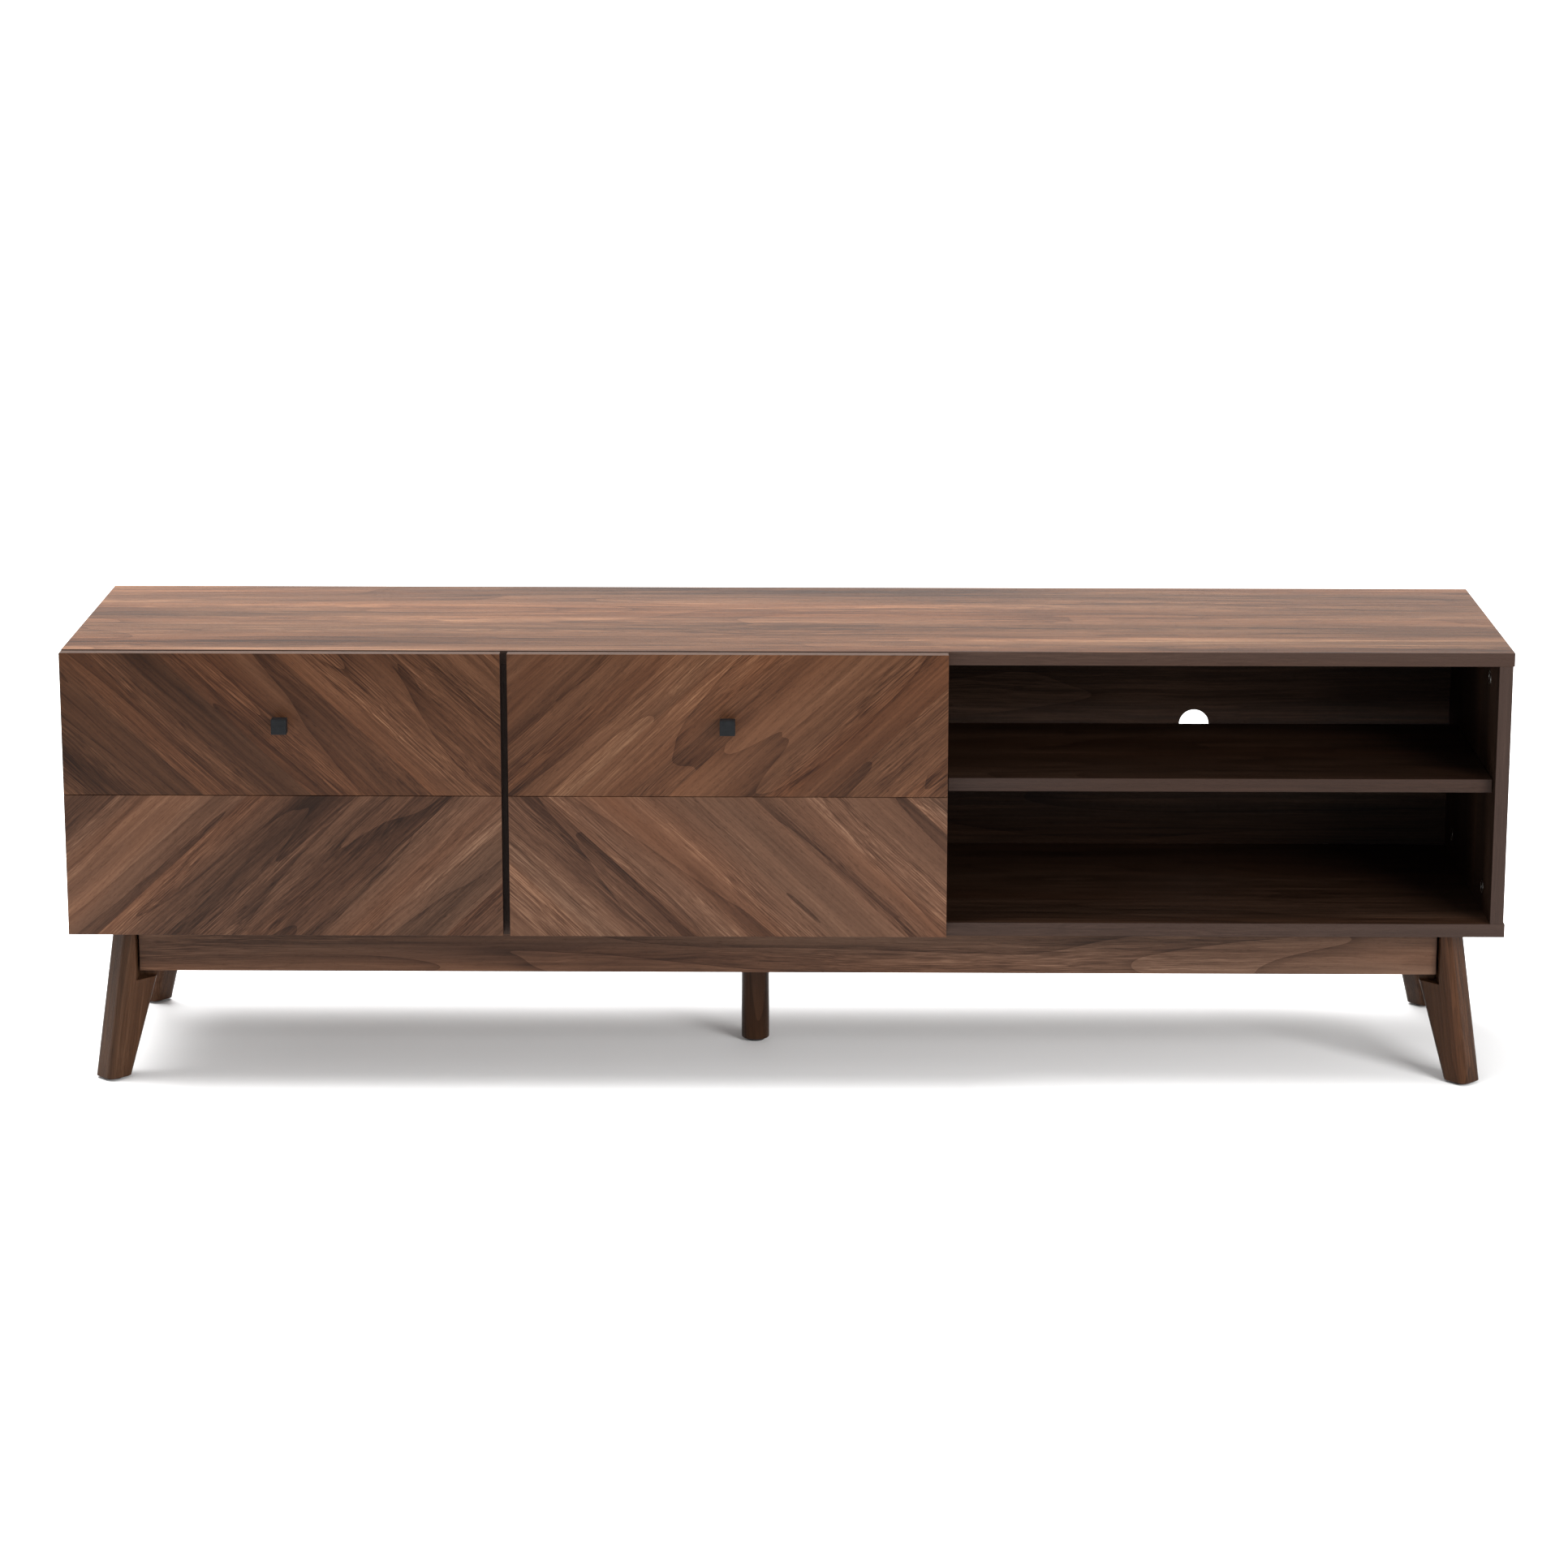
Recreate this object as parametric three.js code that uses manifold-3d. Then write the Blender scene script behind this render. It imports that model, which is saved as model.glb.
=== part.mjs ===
// Long low television cabinet on splayed legs: a board carcass with three bays side by side.
// Two bays close with drop-front flaps, and the third is open with a loose shelf.
// Millimetres, +Z up, front towards -Y. The origin is on the floor, under the middle of the
// space that the cabinet takes up, knobs included.

import * as THREE from "three";
import { mergeVertices } from "three/addons/utils/BufferGeometryUtils.js";
import Module from "manifold-3d";

const wasm = await Module();
wasm.setup();

// Driving dimensions. Until the last group is moved, y is 0 at the front of the carcass boards.

const WIDTH = 1600;
const HEIGHT = 500;
const CARCASS_DEPTH = 382.5;
const BOARD = 15;
const UNDERSIDE = 177;
const END_OVERHANG = 1.5;
const CUT_GAP = 0.3;

// How far a cutting tool runs past the face that it opens, and how many sides a round has.

const OVERRUN = 1;
const SIDES = { small: 16, usual: 24, large: 40 };

const FLAP = {
  thickness: 15,
  gap: 2.5,
  bottom: 179.5,
  top: 499.5,
  rims: [
    [-800, -315.5],
    [-308, 177.5],
  ],
  edge: 0.8,
  grooveWidth: 2,
  grooveDepth: 1.5,
};

const BAYS = {
  inner: WIDTH / 2 - END_OVERHANG - BOARD,
  dividers: [-319.5, 163],
};

const BACK = { thickness: 3, front: 369.5, groove: 5, slack: 0.25, holeRadius: 17.5 };

const SHELF = { top: 354, setBack: 16, depth: 286, slack: 1, pinRadius: 2.5, pinReach: 8, pinInset: 50 };

const CAM = {
  radius: 7.5,
  depth: 12,
  fromEdge: 26,
  fromFront: 68,
  slotWidth: 1.6,
  slotDepth: 2.5,
  slotReach: 5.5,
};

const BASE = {
  middle: 189,
  railThickness: 15,
  railHeight: 56,
  frontRail: 45,
  railEnd: 732,
  centreRail: 0,
};

const LEG = {
  thickness: 32,
  footWidth: 32,
  topWidth: 65,
  footX: 774.5,
  footY: 17.8,
  splay: 31.8,
  rounding: 6,
  spare: 60,
  pocketFloor: 112,
};

const CENTRE_LEG = { x: -38, y: 191.5, radius: 16, plate: 54, plateThickness: 4 };

const GLIDE = { radius: 11, height: 3 };

const KNOB = {
  z: 421,
  side: 17,
  depth: 14,
  neckRadius: 5,
  neck: 6,
  edge: 1,
  boreDepth: 8,
  screwRadius: 2,
  screwReach: 7,
  screwHead: 2.5,
};

// The flap turns about a pin that lies inside its own thickness, close to its bottom edge.

const PIVOT = { y: -11, z: FLAP.bottom + 6 };

const HINGE = {
  fromBayEnd: 80,
  cupCentre: 20,
  cupRadius: 17.5,
  cupDepth: 11.8,
  wall: 0.6,
  flangeWidth: 58,
  flangeHeight: 16,
  flangeThickness: 1.2,
  flangeLift: 1,
  armWidth: 6,
  armLift: 11.5,
  armThickness: 4,
  eyeRadius: 2.4,
  eyeSlack: 0.5,
  pinRadius: 1,
  pinHalf: 6,
  pinWallZ: [-1.6, 2],
  neckY: [-2, 1],
  spineY: [10, 52],
  spineSide: 3,
  spineLip: 1,
  reachEnd: 48,
  wingY: [20, 38],
  wingWidth: 44,
};

// The stay is a slotted bar. Its flap pivot and its fixed pin are both `reach` away from the
// flap's hinge line, so the bar always turns by half the angle that the flap turns.

const STAY = {
  reach: 160,
  pivotProud: 12,
  closedAngle: THREE.MathUtils.degToRad(30),
  openAngle: THREE.MathUtils.degToRad(90),
  barHalf: 8,
  barThickness: 3,
  slotHalf: 3.5,
  slotSpare: 6,
  pinRadius: 3,
  headRadius: 6,
  rivetRadius: 5,
  plateThickness: 3,
  plateSize: [24, 44],
  earReach: 7,
  earHeight: 18,
  footThickness: 2,
};

const CATCH = { width: 40, depth: 14, height: 12, setBack: 4, strike: 1.2, strikeInset: 6 };

// Finishes

const finishes = {
  walnut_top: { color: 0x8c6e5f, roughness: 0.45, metalness: 0 },
  walnut_edge: { color: 0x584842, roughness: 0.5, metalness: 0 },
  walnut_flap: { color: 0x5a3c2d, roughness: 0.45, metalness: 0 },
  walnut_inside: { color: 0x3a2a22, roughness: 0.6, metalness: 0 },
  walnut_solid: { color: 0x4a2f20, roughness: 0.5, metalness: 0 },
  gunmetal: { color: 0x30363a, roughness: 0.35, metalness: 0.8 },
  plated_steel: { color: 0xb8b8b4, roughness: 0.3, metalness: 1 },
  black_plastic: { color: 0x161616, roughness: 0.6, metalness: 0 },
};

// Solids from closed geometries

function toSolid(geometry) {
  const bare = geometry.clone();
  bare.deleteAttribute("normal");
  bare.deleteAttribute("uv");
  const merged = mergeVertices(bare, 1e-4);
  return new wasm.Manifold(
    new wasm.Mesh({
      numProp: 3,
      vertProperties: new Float32Array(merged.attributes.position.array),
      triVerts: new Uint32Array(merged.index.array),
    }),
  );
}

function toGeometry(solid) {
  const { vertProperties, triVerts } = solid.getMesh();
  const shared = new THREE.BufferGeometry();
  shared.setAttribute("position", new THREE.BufferAttribute(vertProperties, 3));
  shared.setIndex(new THREE.BufferAttribute(triVerts, 1));
  const geometry = shared.toNonIndexed();
  geometry.computeVertexNormals();
  return geometry;
}

function join(first, ...others) {
  return toGeometry(others.reduce((solid, other) => solid.add(toSolid(other)), toSolid(first)));
}

function cut(first, ...others) {
  return toGeometry(others.reduce((solid, other) => solid.subtract(toSolid(other)), toSolid(first)));
}

function overlap(first, second) {
  return toGeometry(toSolid(first).intersect(toSolid(second)));
}

// Simple shapes by their limits

function span(a, b) {
  return [Math.min(a, b), Math.max(a, b)];
}

function block([x0, x1], [y0, y1], [z0, z1]) {
  const geometry = new THREE.BoxGeometry(x1 - x0, y1 - y0, z1 - z0);
  return geometry.translate((x0 + x1) / 2, (y0 + y1) / 2, (z0 + z1) / 2);
}

function rodX(radius, [x0, x1], y, z, sides = SIDES.usual) {
  const geometry = new THREE.CylinderGeometry(radius, radius, x1 - x0, sides);
  return geometry.rotateZ(Math.PI / 2).translate((x0 + x1) / 2, y, z);
}

function rodY(radius, x, [y0, y1], z, sides = SIDES.usual) {
  const geometry = new THREE.CylinderGeometry(radius, radius, y1 - y0, sides);
  return geometry.translate(x, (y0 + y1) / 2, z);
}

function rodZ(radius, x, y, [z0, z1], sides = SIDES.usual) {
  const geometry = new THREE.CylinderGeometry(radius, radius, z1 - z0, sides);
  return geometry.rotateX(Math.PI / 2).translate(x, y, (z0 + z1) / 2);
}

const cabinet = new THREE.Group();

function add(name, finish, geometry) {
  const material = new THREE.MeshStandardMaterial(finishes[finish]);
  const mesh = new THREE.Mesh(geometry, material);
  mesh.name = name;
  cabinet.add(mesh);
}

// Carcass boards

const floorTop = UNDERSIDE + BOARD;
const roof = HEIGHT - BOARD;
const bayMiddle = (floorTop + roof) / 2;
const bays = [
  ["left", -BAYS.inner, BAYS.dividers[0]],
  ["centre", BAYS.dividers[0] + BOARD, BAYS.dividers[1]],
  ["right", BAYS.dividers[1] + BOARD, BAYS.inner],
];
const backGrooveY = [BACK.front - BACK.slack, BACK.front + BACK.thickness + BACK.slack];

function backGrooves(z) {
  return bays.map(([, x0, x1]) => block([x0, x1], backGrooveY, z));
}

function addTopAndBottom() {
  const full = [-WIDTH / 2, WIDTH / 2];
  const depth = [0, CARCASS_DEPTH];
  const topGrooves = backGrooves([roof - OVERRUN, roof + BACK.groove]);
  add("top_panel", "walnut_top", cut(block(full, depth, [roof, HEIGHT]), ...topGrooves));
  const bottomGrooves = backGrooves([floorTop - BACK.groove, floorTop + OVERRUN]);
  add("bottom_panel", "walnut_edge", cut(block(full, depth, [UNDERSIDE, floorTop]), ...bottomGrooves));
}

function shelfPinHoles(face, inward) {
  const z = SHELF.top - BOARD - SHELF.pinRadius - CUT_GAP;
  const hole = span(face - inward * (SHELF.pinReach + OVERRUN), face + inward * OVERRUN);
  return shelfPinRows().map((y) => rodX(SHELF.pinRadius + CUT_GAP, hole, y, z));
}

function shelfPinRows() {
  return [SHELF.setBack + SHELF.pinInset, SHELF.setBack + SHELF.depth - SHELF.pinInset];
}

function camPlaces() {
  const rows = [CAM.fromFront, CARCASS_DEPTH - CAM.fromFront];
  const levels = [roof - CAM.fromEdge, floorTop + CAM.fromEdge];
  return levels.flatMap((z) => rows.map((y) => [y, z]));
}

function addUprights() {
  const tall = [floorTop, roof];
  const depth = [0, CARCASS_DEPTH];
  const groove = (face, inward) => {
    const reach = span(face - inward * BACK.groove, face + inward * OVERRUN);
    return block(reach, backGrooveY, [floorTop - OVERRUN, roof + OVERRUN]);
  };
  const outer = BAYS.inner + BOARD;
  const [first, second] = BAYS.dividers;

  add(
    "side_panel_left",
    "walnut_edge",
    cut(block([-outer, -BAYS.inner], depth, tall), groove(-BAYS.inner, 1)),
  );
  const camBores = camPlaces().map(([y, z]) =>
    rodX(CAM.radius + CUT_GAP, [BAYS.inner - OVERRUN, BAYS.inner + CAM.depth + CUT_GAP], y, z),
  );
  add(
    "side_panel_right",
    "walnut_edge",
    cut(
      block([BAYS.inner, outer], depth, tall),
      groove(BAYS.inner, -1),
      ...shelfPinHoles(BAYS.inner, -1),
      ...camBores,
    ),
  );
  add(
    "divider_left",
    "walnut_inside",
    cut(block([first, first + BOARD], depth, tall), groove(first, -1), groove(first + BOARD, 1)),
  );
  add(
    "divider_right",
    "walnut_inside",
    cut(
      block([second, second + BOARD], depth, tall),
      groove(second, -1),
      groove(second + BOARD, 1),
      ...shelfPinHoles(second + BOARD, 1),
    ),
  );
}

function addBacks() {
  const reach = BACK.groove - 2 * BACK.slack;
  const depth = [BACK.front, BACK.front + BACK.thickness];
  const through = [depth[0] - OVERRUN, depth[1] + OVERRUN];
  bays.forEach(([name, x0, x1]) => {
    const sheet = block([x0 - reach, x1 + reach], depth, [floorTop, roof]);
    const hole = rodY(BACK.holeRadius, (x0 + x1) / 2, through, bayMiddle, SIDES.large);
    add(`back_panel_${name}`, "walnut_inside", cut(sheet, hole));
  });
}

function addShelf() {
  const [, x0, x1] = bays[2];
  const depth = [SHELF.setBack, SHELF.setBack + SHELF.depth];
  const level = [SHELF.top - BOARD, SHELF.top];
  add("shelf", "walnut_edge", block([x0 + SHELF.slack, x1 - SHELF.slack], depth, level));
  const z = SHELF.top - BOARD - SHELF.pinRadius - CUT_GAP;
  const rows = shelfPinRows();
  const ends = [
    ["left", [x0 - SHELF.pinReach, x0 + SHELF.pinReach]],
    ["right", [x1 - SHELF.pinReach, x1 + SHELF.pinReach]],
  ];
  ends.forEach(([end, span]) => {
    add(`shelf_pin_${end}_front`, "plated_steel", rodX(SHELF.pinRadius, span, rows[0], z));
    add(`shelf_pin_${end}_rear`, "plated_steel", rodX(SHELF.pinRadius, span, rows[1], z));
  });
}

function addCamLocks() {
  const names = ["top_front", "top_rear", "bottom_front", "bottom_rear"];
  camPlaces().forEach(([y, z], i) => {
    const body = rodX(CAM.radius, [BAYS.inner, BAYS.inner + CAM.depth], y, z);
    const deep = [BAYS.inner - OVERRUN, BAYS.inner + CAM.slotDepth];
    const half = CAM.slotWidth / 2;
    const long = CAM.slotReach;
    const upright = block(deep, [y - half, y + half], [z - long, z + long]);
    const level = block(deep, [y - long, y + long], [z - half, z + half]);
    add(`cam_lock_${names[i]}`, "plated_steel", cut(body, upright, level));
  });
}

// Base frame, legs and glides

const railLevel = [UNDERSIDE - BASE.railHeight, UNDERSIDE];
const frontRailY = [BASE.frontRail, BASE.frontRail + BASE.railThickness];
const rearRailY = frontRailY.map((y) => 2 * BASE.middle - y).reverse();
const sideRailX = [BASE.railEnd, BASE.railEnd + BASE.railThickness];
const sideRailY = [frontRailY[1] + CUT_GAP, rearRailY[0] - CUT_GAP];

function addRails() {
  const long = [-BASE.railEnd, BASE.railEnd];
  add("apron_front", "walnut_edge", block(long, frontRailY, railLevel));
  add("apron_rear", "walnut_edge", block(long, rearRailY, railLevel));
  const left = sideRailX.map((x) => -x).reverse();
  add("side_rail_left", "walnut_edge", block(left, sideRailY, railLevel));
  add("side_rail_right", "walnut_edge", block(sideRailX, sideRailY, railLevel));
  const half = BASE.railThickness / 2;
  const centre = [BASE.centreRail - half, BASE.centreRail + half];
  add("centre_rail", "walnut_edge", block(centre, [frontRailY[1], rearRailY[0]], railLevel));
}

// A leg is a tapered plank, set on the diagonal. Its outer edge leans outwards as it goes down,
// and its inner edge leans more. Here +X is outwards and the plank is thick along Y.

function legBlank() {
  const lean = LEG.splay / UNDERSIDE;
  const taper = (LEG.topWidth - LEG.footWidth) / UNDERSIDE;
  const outerAt = (z) => -lean * z;
  const innerAt = (z) => -LEG.footWidth - (lean + taper) * z;
  const low = -LEG.spare;
  const high = UNDERSIDE + LEG.spare;
  const outline = new THREE.Shape([
    new THREE.Vector2(innerAt(low), low),
    new THREE.Vector2(outerAt(low), low),
    new THREE.Vector2(outerAt(high), high),
    new THREE.Vector2(innerAt(high), high),
  ]);
  const plank = new THREE.ExtrudeGeometry(outline, {
    depth: LEG.thickness - 2 * LEG.rounding,
    bevelThickness: LEG.rounding,
    bevelSize: LEG.rounding,
    bevelOffset: -LEG.rounding,
    bevelSegments: 5,
  });
  plank.translate(0, 0, LEG.rounding - LEG.thickness / 2).rotateX(Math.PI / 2);
  const wide = [-3 * LEG.topWidth, 3 * LEG.topWidth];
  const trim = block(wide, wide, [GLIDE.height, UNDERSIDE]);
  return overlap(plank, trim);
}

function addLegs() {
  const blank = legBlank();
  const corners = [
    ["front_left", -1, -1],
    ["front_right", 1, -1],
    ["rear_left", -1, 1],
    ["rear_right", 1, 1],
  ];
  const fromMiddle = BASE.middle - LEG.footY;
  const pocket = [LEG.pocketFloor, UNDERSIDE + OVERRUN];
  corners.forEach(([name, sx, sy]) => {
    const x = sx * LEG.footX;
    const y = BASE.middle + sy * fromMiddle;
    const leg = blank.clone().rotateZ(Math.atan2(sy, sx)).translate(x, y, 0);
    const apronY = sy < 0 ? frontRailY : rearRailY;
    const endPocket = block(
      span(0, sx * (BASE.railEnd + OVERRUN)),
      sy < 0 ? [0, apronY[1] + CUT_GAP] : [apronY[0] - CUT_GAP, CARCASS_DEPTH],
      pocket,
    );
    const sidePocket = block(
      span(sx * (sideRailX[0] - CUT_GAP), sx * WIDTH),
      sy < 0 ? [apronY[1], BASE.middle] : [BASE.middle, apronY[0]],
      pocket,
    );
    add(`leg_${name}`, "walnut_solid", cut(leg, endPocket, sidePocket));

    const footIn = LEG.footWidth / 2 / Math.SQRT2;
    const glide = rodZ(GLIDE.radius, x - sx * footIn, y - sy * footIn, [0, GLIDE.height]);
    add(`glide_${name}`, "black_plastic", glide);
  });
}

function addCentreLeg() {
  const { x, y, radius, plate, plateThickness } = CENTRE_LEG;
  const plateBottom = UNDERSIDE - plateThickness;
  add("centre_leg", "walnut_solid", rodZ(radius, x, y, [GLIDE.height, plateBottom], SIDES.large));
  const half = plate / 2;
  const sheet = block([x - half, x + half], [y - half, y + half], [plateBottom, UNDERSIDE]);
  add("centre_leg_plate", "plated_steel", sheet);
  add("glide_centre", "black_plastic", rodZ(GLIDE.radius, x, y, [0, GLIDE.height]));
}

// Flaps with their knobs, hinges, stays and catches

const flapBack = -FLAP.gap;
const flapFront = -FLAP.gap - FLAP.thickness;

function flapBlank([x0, x1]) {
  const inset = FLAP.edge;
  const outline = new THREE.Shape([
    new THREE.Vector2(x0, FLAP.bottom),
    new THREE.Vector2(x1, FLAP.bottom),
    new THREE.Vector2(x1, FLAP.top),
    new THREE.Vector2(x0, FLAP.top),
  ]);
  const board = new THREE.ExtrudeGeometry(outline, {
    depth: FLAP.thickness - 2 * inset,
    bevelThickness: inset,
    bevelSize: inset,
    bevelOffset: -inset,
    bevelSegments: 2,
  });
  return board.rotateX(Math.PI / 2).translate(0, flapBack - inset, 0);
}

function faceGroove([x0, x1]) {
  const side = FLAP.grooveWidth / Math.SQRT2;
  const bar = new THREE.BoxGeometry(x1 - x0 + 2 * OVERRUN, side, side).rotateX(Math.PI / 4);
  const sunk = FLAP.grooveDepth - FLAP.grooveWidth / 2;
  return bar.translate((x0 + x1) / 2, flapFront + sunk, (FLAP.bottom + FLAP.top) / 2);
}

function hingePlaces(x0, x1) {
  return [
    ["outer", x0 + HINGE.fromBayEnd],
    ["inner", x1 - HINGE.fromBayEnd],
  ];
}

const cupZ = FLAP.bottom + HINGE.cupCentre;

function hingeCup(x) {
  const floor = flapBack - HINGE.cupDepth;
  const shell = rodY(HINGE.cupRadius, x, [floor, flapBack], cupZ, SIDES.large);
  const halfWidth = HINGE.flangeWidth / 2;
  const flangeBottom = cupZ + HINGE.flangeLift;
  const flangeZ = [flangeBottom, flangeBottom + HINGE.flangeHeight];
  const flange = block(
    [x - halfWidth, x + halfWidth],
    [flapBack, flapBack + HINGE.flangeThickness],
    flangeZ,
  );
  const open = [floor + HINGE.wall, flapBack + HINGE.flangeThickness + OVERRUN];
  const hollow = rodY(HINGE.cupRadius - HINGE.wall, x, open, cupZ, SIDES.large);
  const pinX = [x - HINGE.pinHalf, x + HINGE.pinHalf];
  const pin = rodX(HINGE.pinRadius, pinX, PIVOT.y, PIVOT.z, SIDES.small);
  const pinWalls = [-1, 1].map((side) => {
    const edge = x + side * (HINGE.armWidth / 2 + HINGE.eyeSlack);
    const wallX = span(edge, x + side * HINGE.pinHalf);
    const wallZ = HINGE.pinWallZ.map((dz) => PIVOT.z + dz);
    return block(wallX, [floor, PIVOT.y + 2 * HINGE.pinRadius], wallZ);
  });
  return join(cut(join(shell, flange), hollow), pin, ...pinWalls);
}

function hingeArm(x) {
  const half = HINGE.armWidth / 2;
  const under = PIVOT.z + HINGE.armLift;
  const over = under + HINGE.armThickness;
  const armX = [x - half, x + half];
  const neckY = HINGE.neckY.map((dy) => PIVOT.y + dy);
  const eye = rodX(HINGE.eyeRadius, armX, PIVOT.y, PIVOT.z);
  const neck = block(armX, neckY, [PIVOT.z, over]);
  const reach = block(armX, [neckY[0], HINGE.reachEnd], [under, over]);
  const halfWing = HINGE.wingWidth / 2;
  const wings = block([x - halfWing, x + halfWing], HINGE.wingY, [floorTop, under]);
  const halfSpine = half + HINGE.spineSide;
  const spineZ = [floorTop, over + HINGE.spineLip];
  const spine = block([x - halfSpine, x + halfSpine], HINGE.spineY, spineZ);
  const holeX = [armX[0] - OVERRUN, armX[1] + OVERRUN];
  const pinHole = rodX(HINGE.pinRadius + CUT_GAP, holeX, PIVOT.y, PIVOT.z, SIDES.small);
  return cut(join(spine, wings, reach, neck, eye), pinHole);
}

// Stay places, seen from the side: y is depth and z is height.

function around(angle, radius) {
  return { y: PIVOT.y + radius * Math.sin(angle), z: PIVOT.z + radius * Math.cos(angle) };
}

const flapPivotAngle = Math.asin((flapBack + STAY.pivotProud - PIVOT.y) / STAY.reach);
const flapPivot = around(flapPivotAngle, STAY.reach);
const fixedPin = around(flapPivotAngle + STAY.closedAngle, STAY.reach);
const closedLength = 2 * STAY.reach * Math.sin(STAY.closedAngle / 2);
const openLength = 2 * STAY.reach * Math.sin((STAY.closedAngle + STAY.openAngle) / 2);
const barAngle = Math.atan2(fixedPin.z - flapPivot.z, fixedPin.y - flapPivot.y);

// Layers across the thickness of a stay, counted inwards from the board that carries it.

const layers = {
  plate: [0, STAY.plateThickness],
  shoulder: [STAY.plateThickness - 1, 6],
  bar: [6.5, 6.5 + STAY.barThickness],
  pin: [5, 10.5],
  head: [10, 12.5],
  pivotHead: [4, 6],
  pivotPin: [5, 11],
  ear: [10, 12],
  foot: [10, 38],
};

function layer(face, inward, [near, far]) {
  return span(face + inward * near, face + inward * far);
}

function roundedSlot(from, to, half) {
  const shape = new THREE.Shape();
  shape.moveTo(from, -half);
  shape.lineTo(to, -half);
  shape.absarc(to, 0, half, -Math.PI / 2, Math.PI / 2, false);
  shape.lineTo(from, half);
  shape.absarc(from, 0, half, Math.PI / 2, (3 * Math.PI) / 2, false);
  return shape;
}

function stayBar(face, inward) {
  const shape = roundedSlot(0, openLength + STAY.slotSpare, STAY.barHalf);
  const slot = roundedSlot(closedLength - STAY.slotSpare, openLength, STAY.slotHalf);
  const eye = new THREE.Path();
  eye.absarc(0, 0, STAY.pinRadius + CUT_GAP, 0, 2 * Math.PI, true);
  shape.holes.push(slot, eye);
  const bar = new THREE.ExtrudeGeometry(shape, {
    depth: STAY.barThickness,
    bevelEnabled: false,
    curveSegments: 10,
  });
  const [x0] = layer(face, inward, layers.bar);
  bar.rotateY(Math.PI / 2).rotateX(Math.PI / 2);
  return bar.rotateX(barAngle).translate(x0, flapPivot.y, flapPivot.z);
}

function stayAnchor(face, inward) {
  const at = (radius, part) => rodX(radius, layer(face, inward, part), fixedPin.y, fixedPin.z);
  const [deep, tall] = STAY.plateSize;
  const plateY = [fixedPin.y - deep / 2, fixedPin.y + deep / 2];
  const plateZ = [fixedPin.z - tall / 2, fixedPin.z + tall / 2];
  const plate = block(layer(face, inward, layers.plate), plateY, plateZ);
  return join(
    plate,
    at(STAY.headRadius, layers.shoulder),
    at(STAY.pinRadius, layers.pin),
    at(STAY.headRadius, layers.head),
  );
}

function stayBracket(face, inward) {
  const at = (radius, part) => rodX(radius, layer(face, inward, part), flapPivot.y, flapPivot.z);
  const tall = [flapPivot.z - STAY.earHeight / 2, flapPivot.z + STAY.earHeight / 2];
  const ear = block(layer(face, inward, layers.ear), [flapBack, flapPivot.y + STAY.earReach], tall);
  const footY = [flapBack, flapBack + STAY.footThickness];
  const foot = block(layer(face, inward, layers.foot), footY, tall);
  return join(
    foot,
    ear,
    at(STAY.pinRadius, layers.pivotPin),
    at(STAY.rivetRadius, layers.pivotHead),
  );
}

function knob(x) {
  const half = KNOB.side / 2;
  const inset = KNOB.edge;
  const outline = new THREE.Shape([
    new THREE.Vector2(x - half, KNOB.z - half),
    new THREE.Vector2(x + half, KNOB.z - half),
    new THREE.Vector2(x + half, KNOB.z + half),
    new THREE.Vector2(x - half, KNOB.z + half),
  ]);
  const cap = new THREE.ExtrudeGeometry(outline, {
    depth: KNOB.depth - 2 * inset,
    bevelThickness: inset,
    bevelSize: inset,
    bevelOffset: -inset,
    bevelSegments: 2,
  });
  const capBack = flapFront - KNOB.neck;
  cap.rotateX(Math.PI / 2).translate(0, capBack - inset, 0);
  const neck = rodY(KNOB.neckRadius, x, [capBack - OVERRUN, flapFront], KNOB.z);
  const boreY = [capBack - KNOB.boreDepth, flapFront + OVERRUN];
  const bore = rodY(KNOB.screwRadius + CUT_GAP, x, boreY, KNOB.z);
  return cut(join(cap, neck), bore);
}

function knobScrew(x) {
  const tip = flapFront - KNOB.neck - KNOB.screwReach;
  const shank = rodY(KNOB.screwRadius, x, [tip, flapBack + OVERRUN], KNOB.z);
  const headY = [flapBack + CUT_GAP, flapBack + KNOB.screwHead];
  const head = rodY(2 * KNOB.screwRadius, x, headY, KNOB.z);
  return join(head, shank);
}

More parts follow.
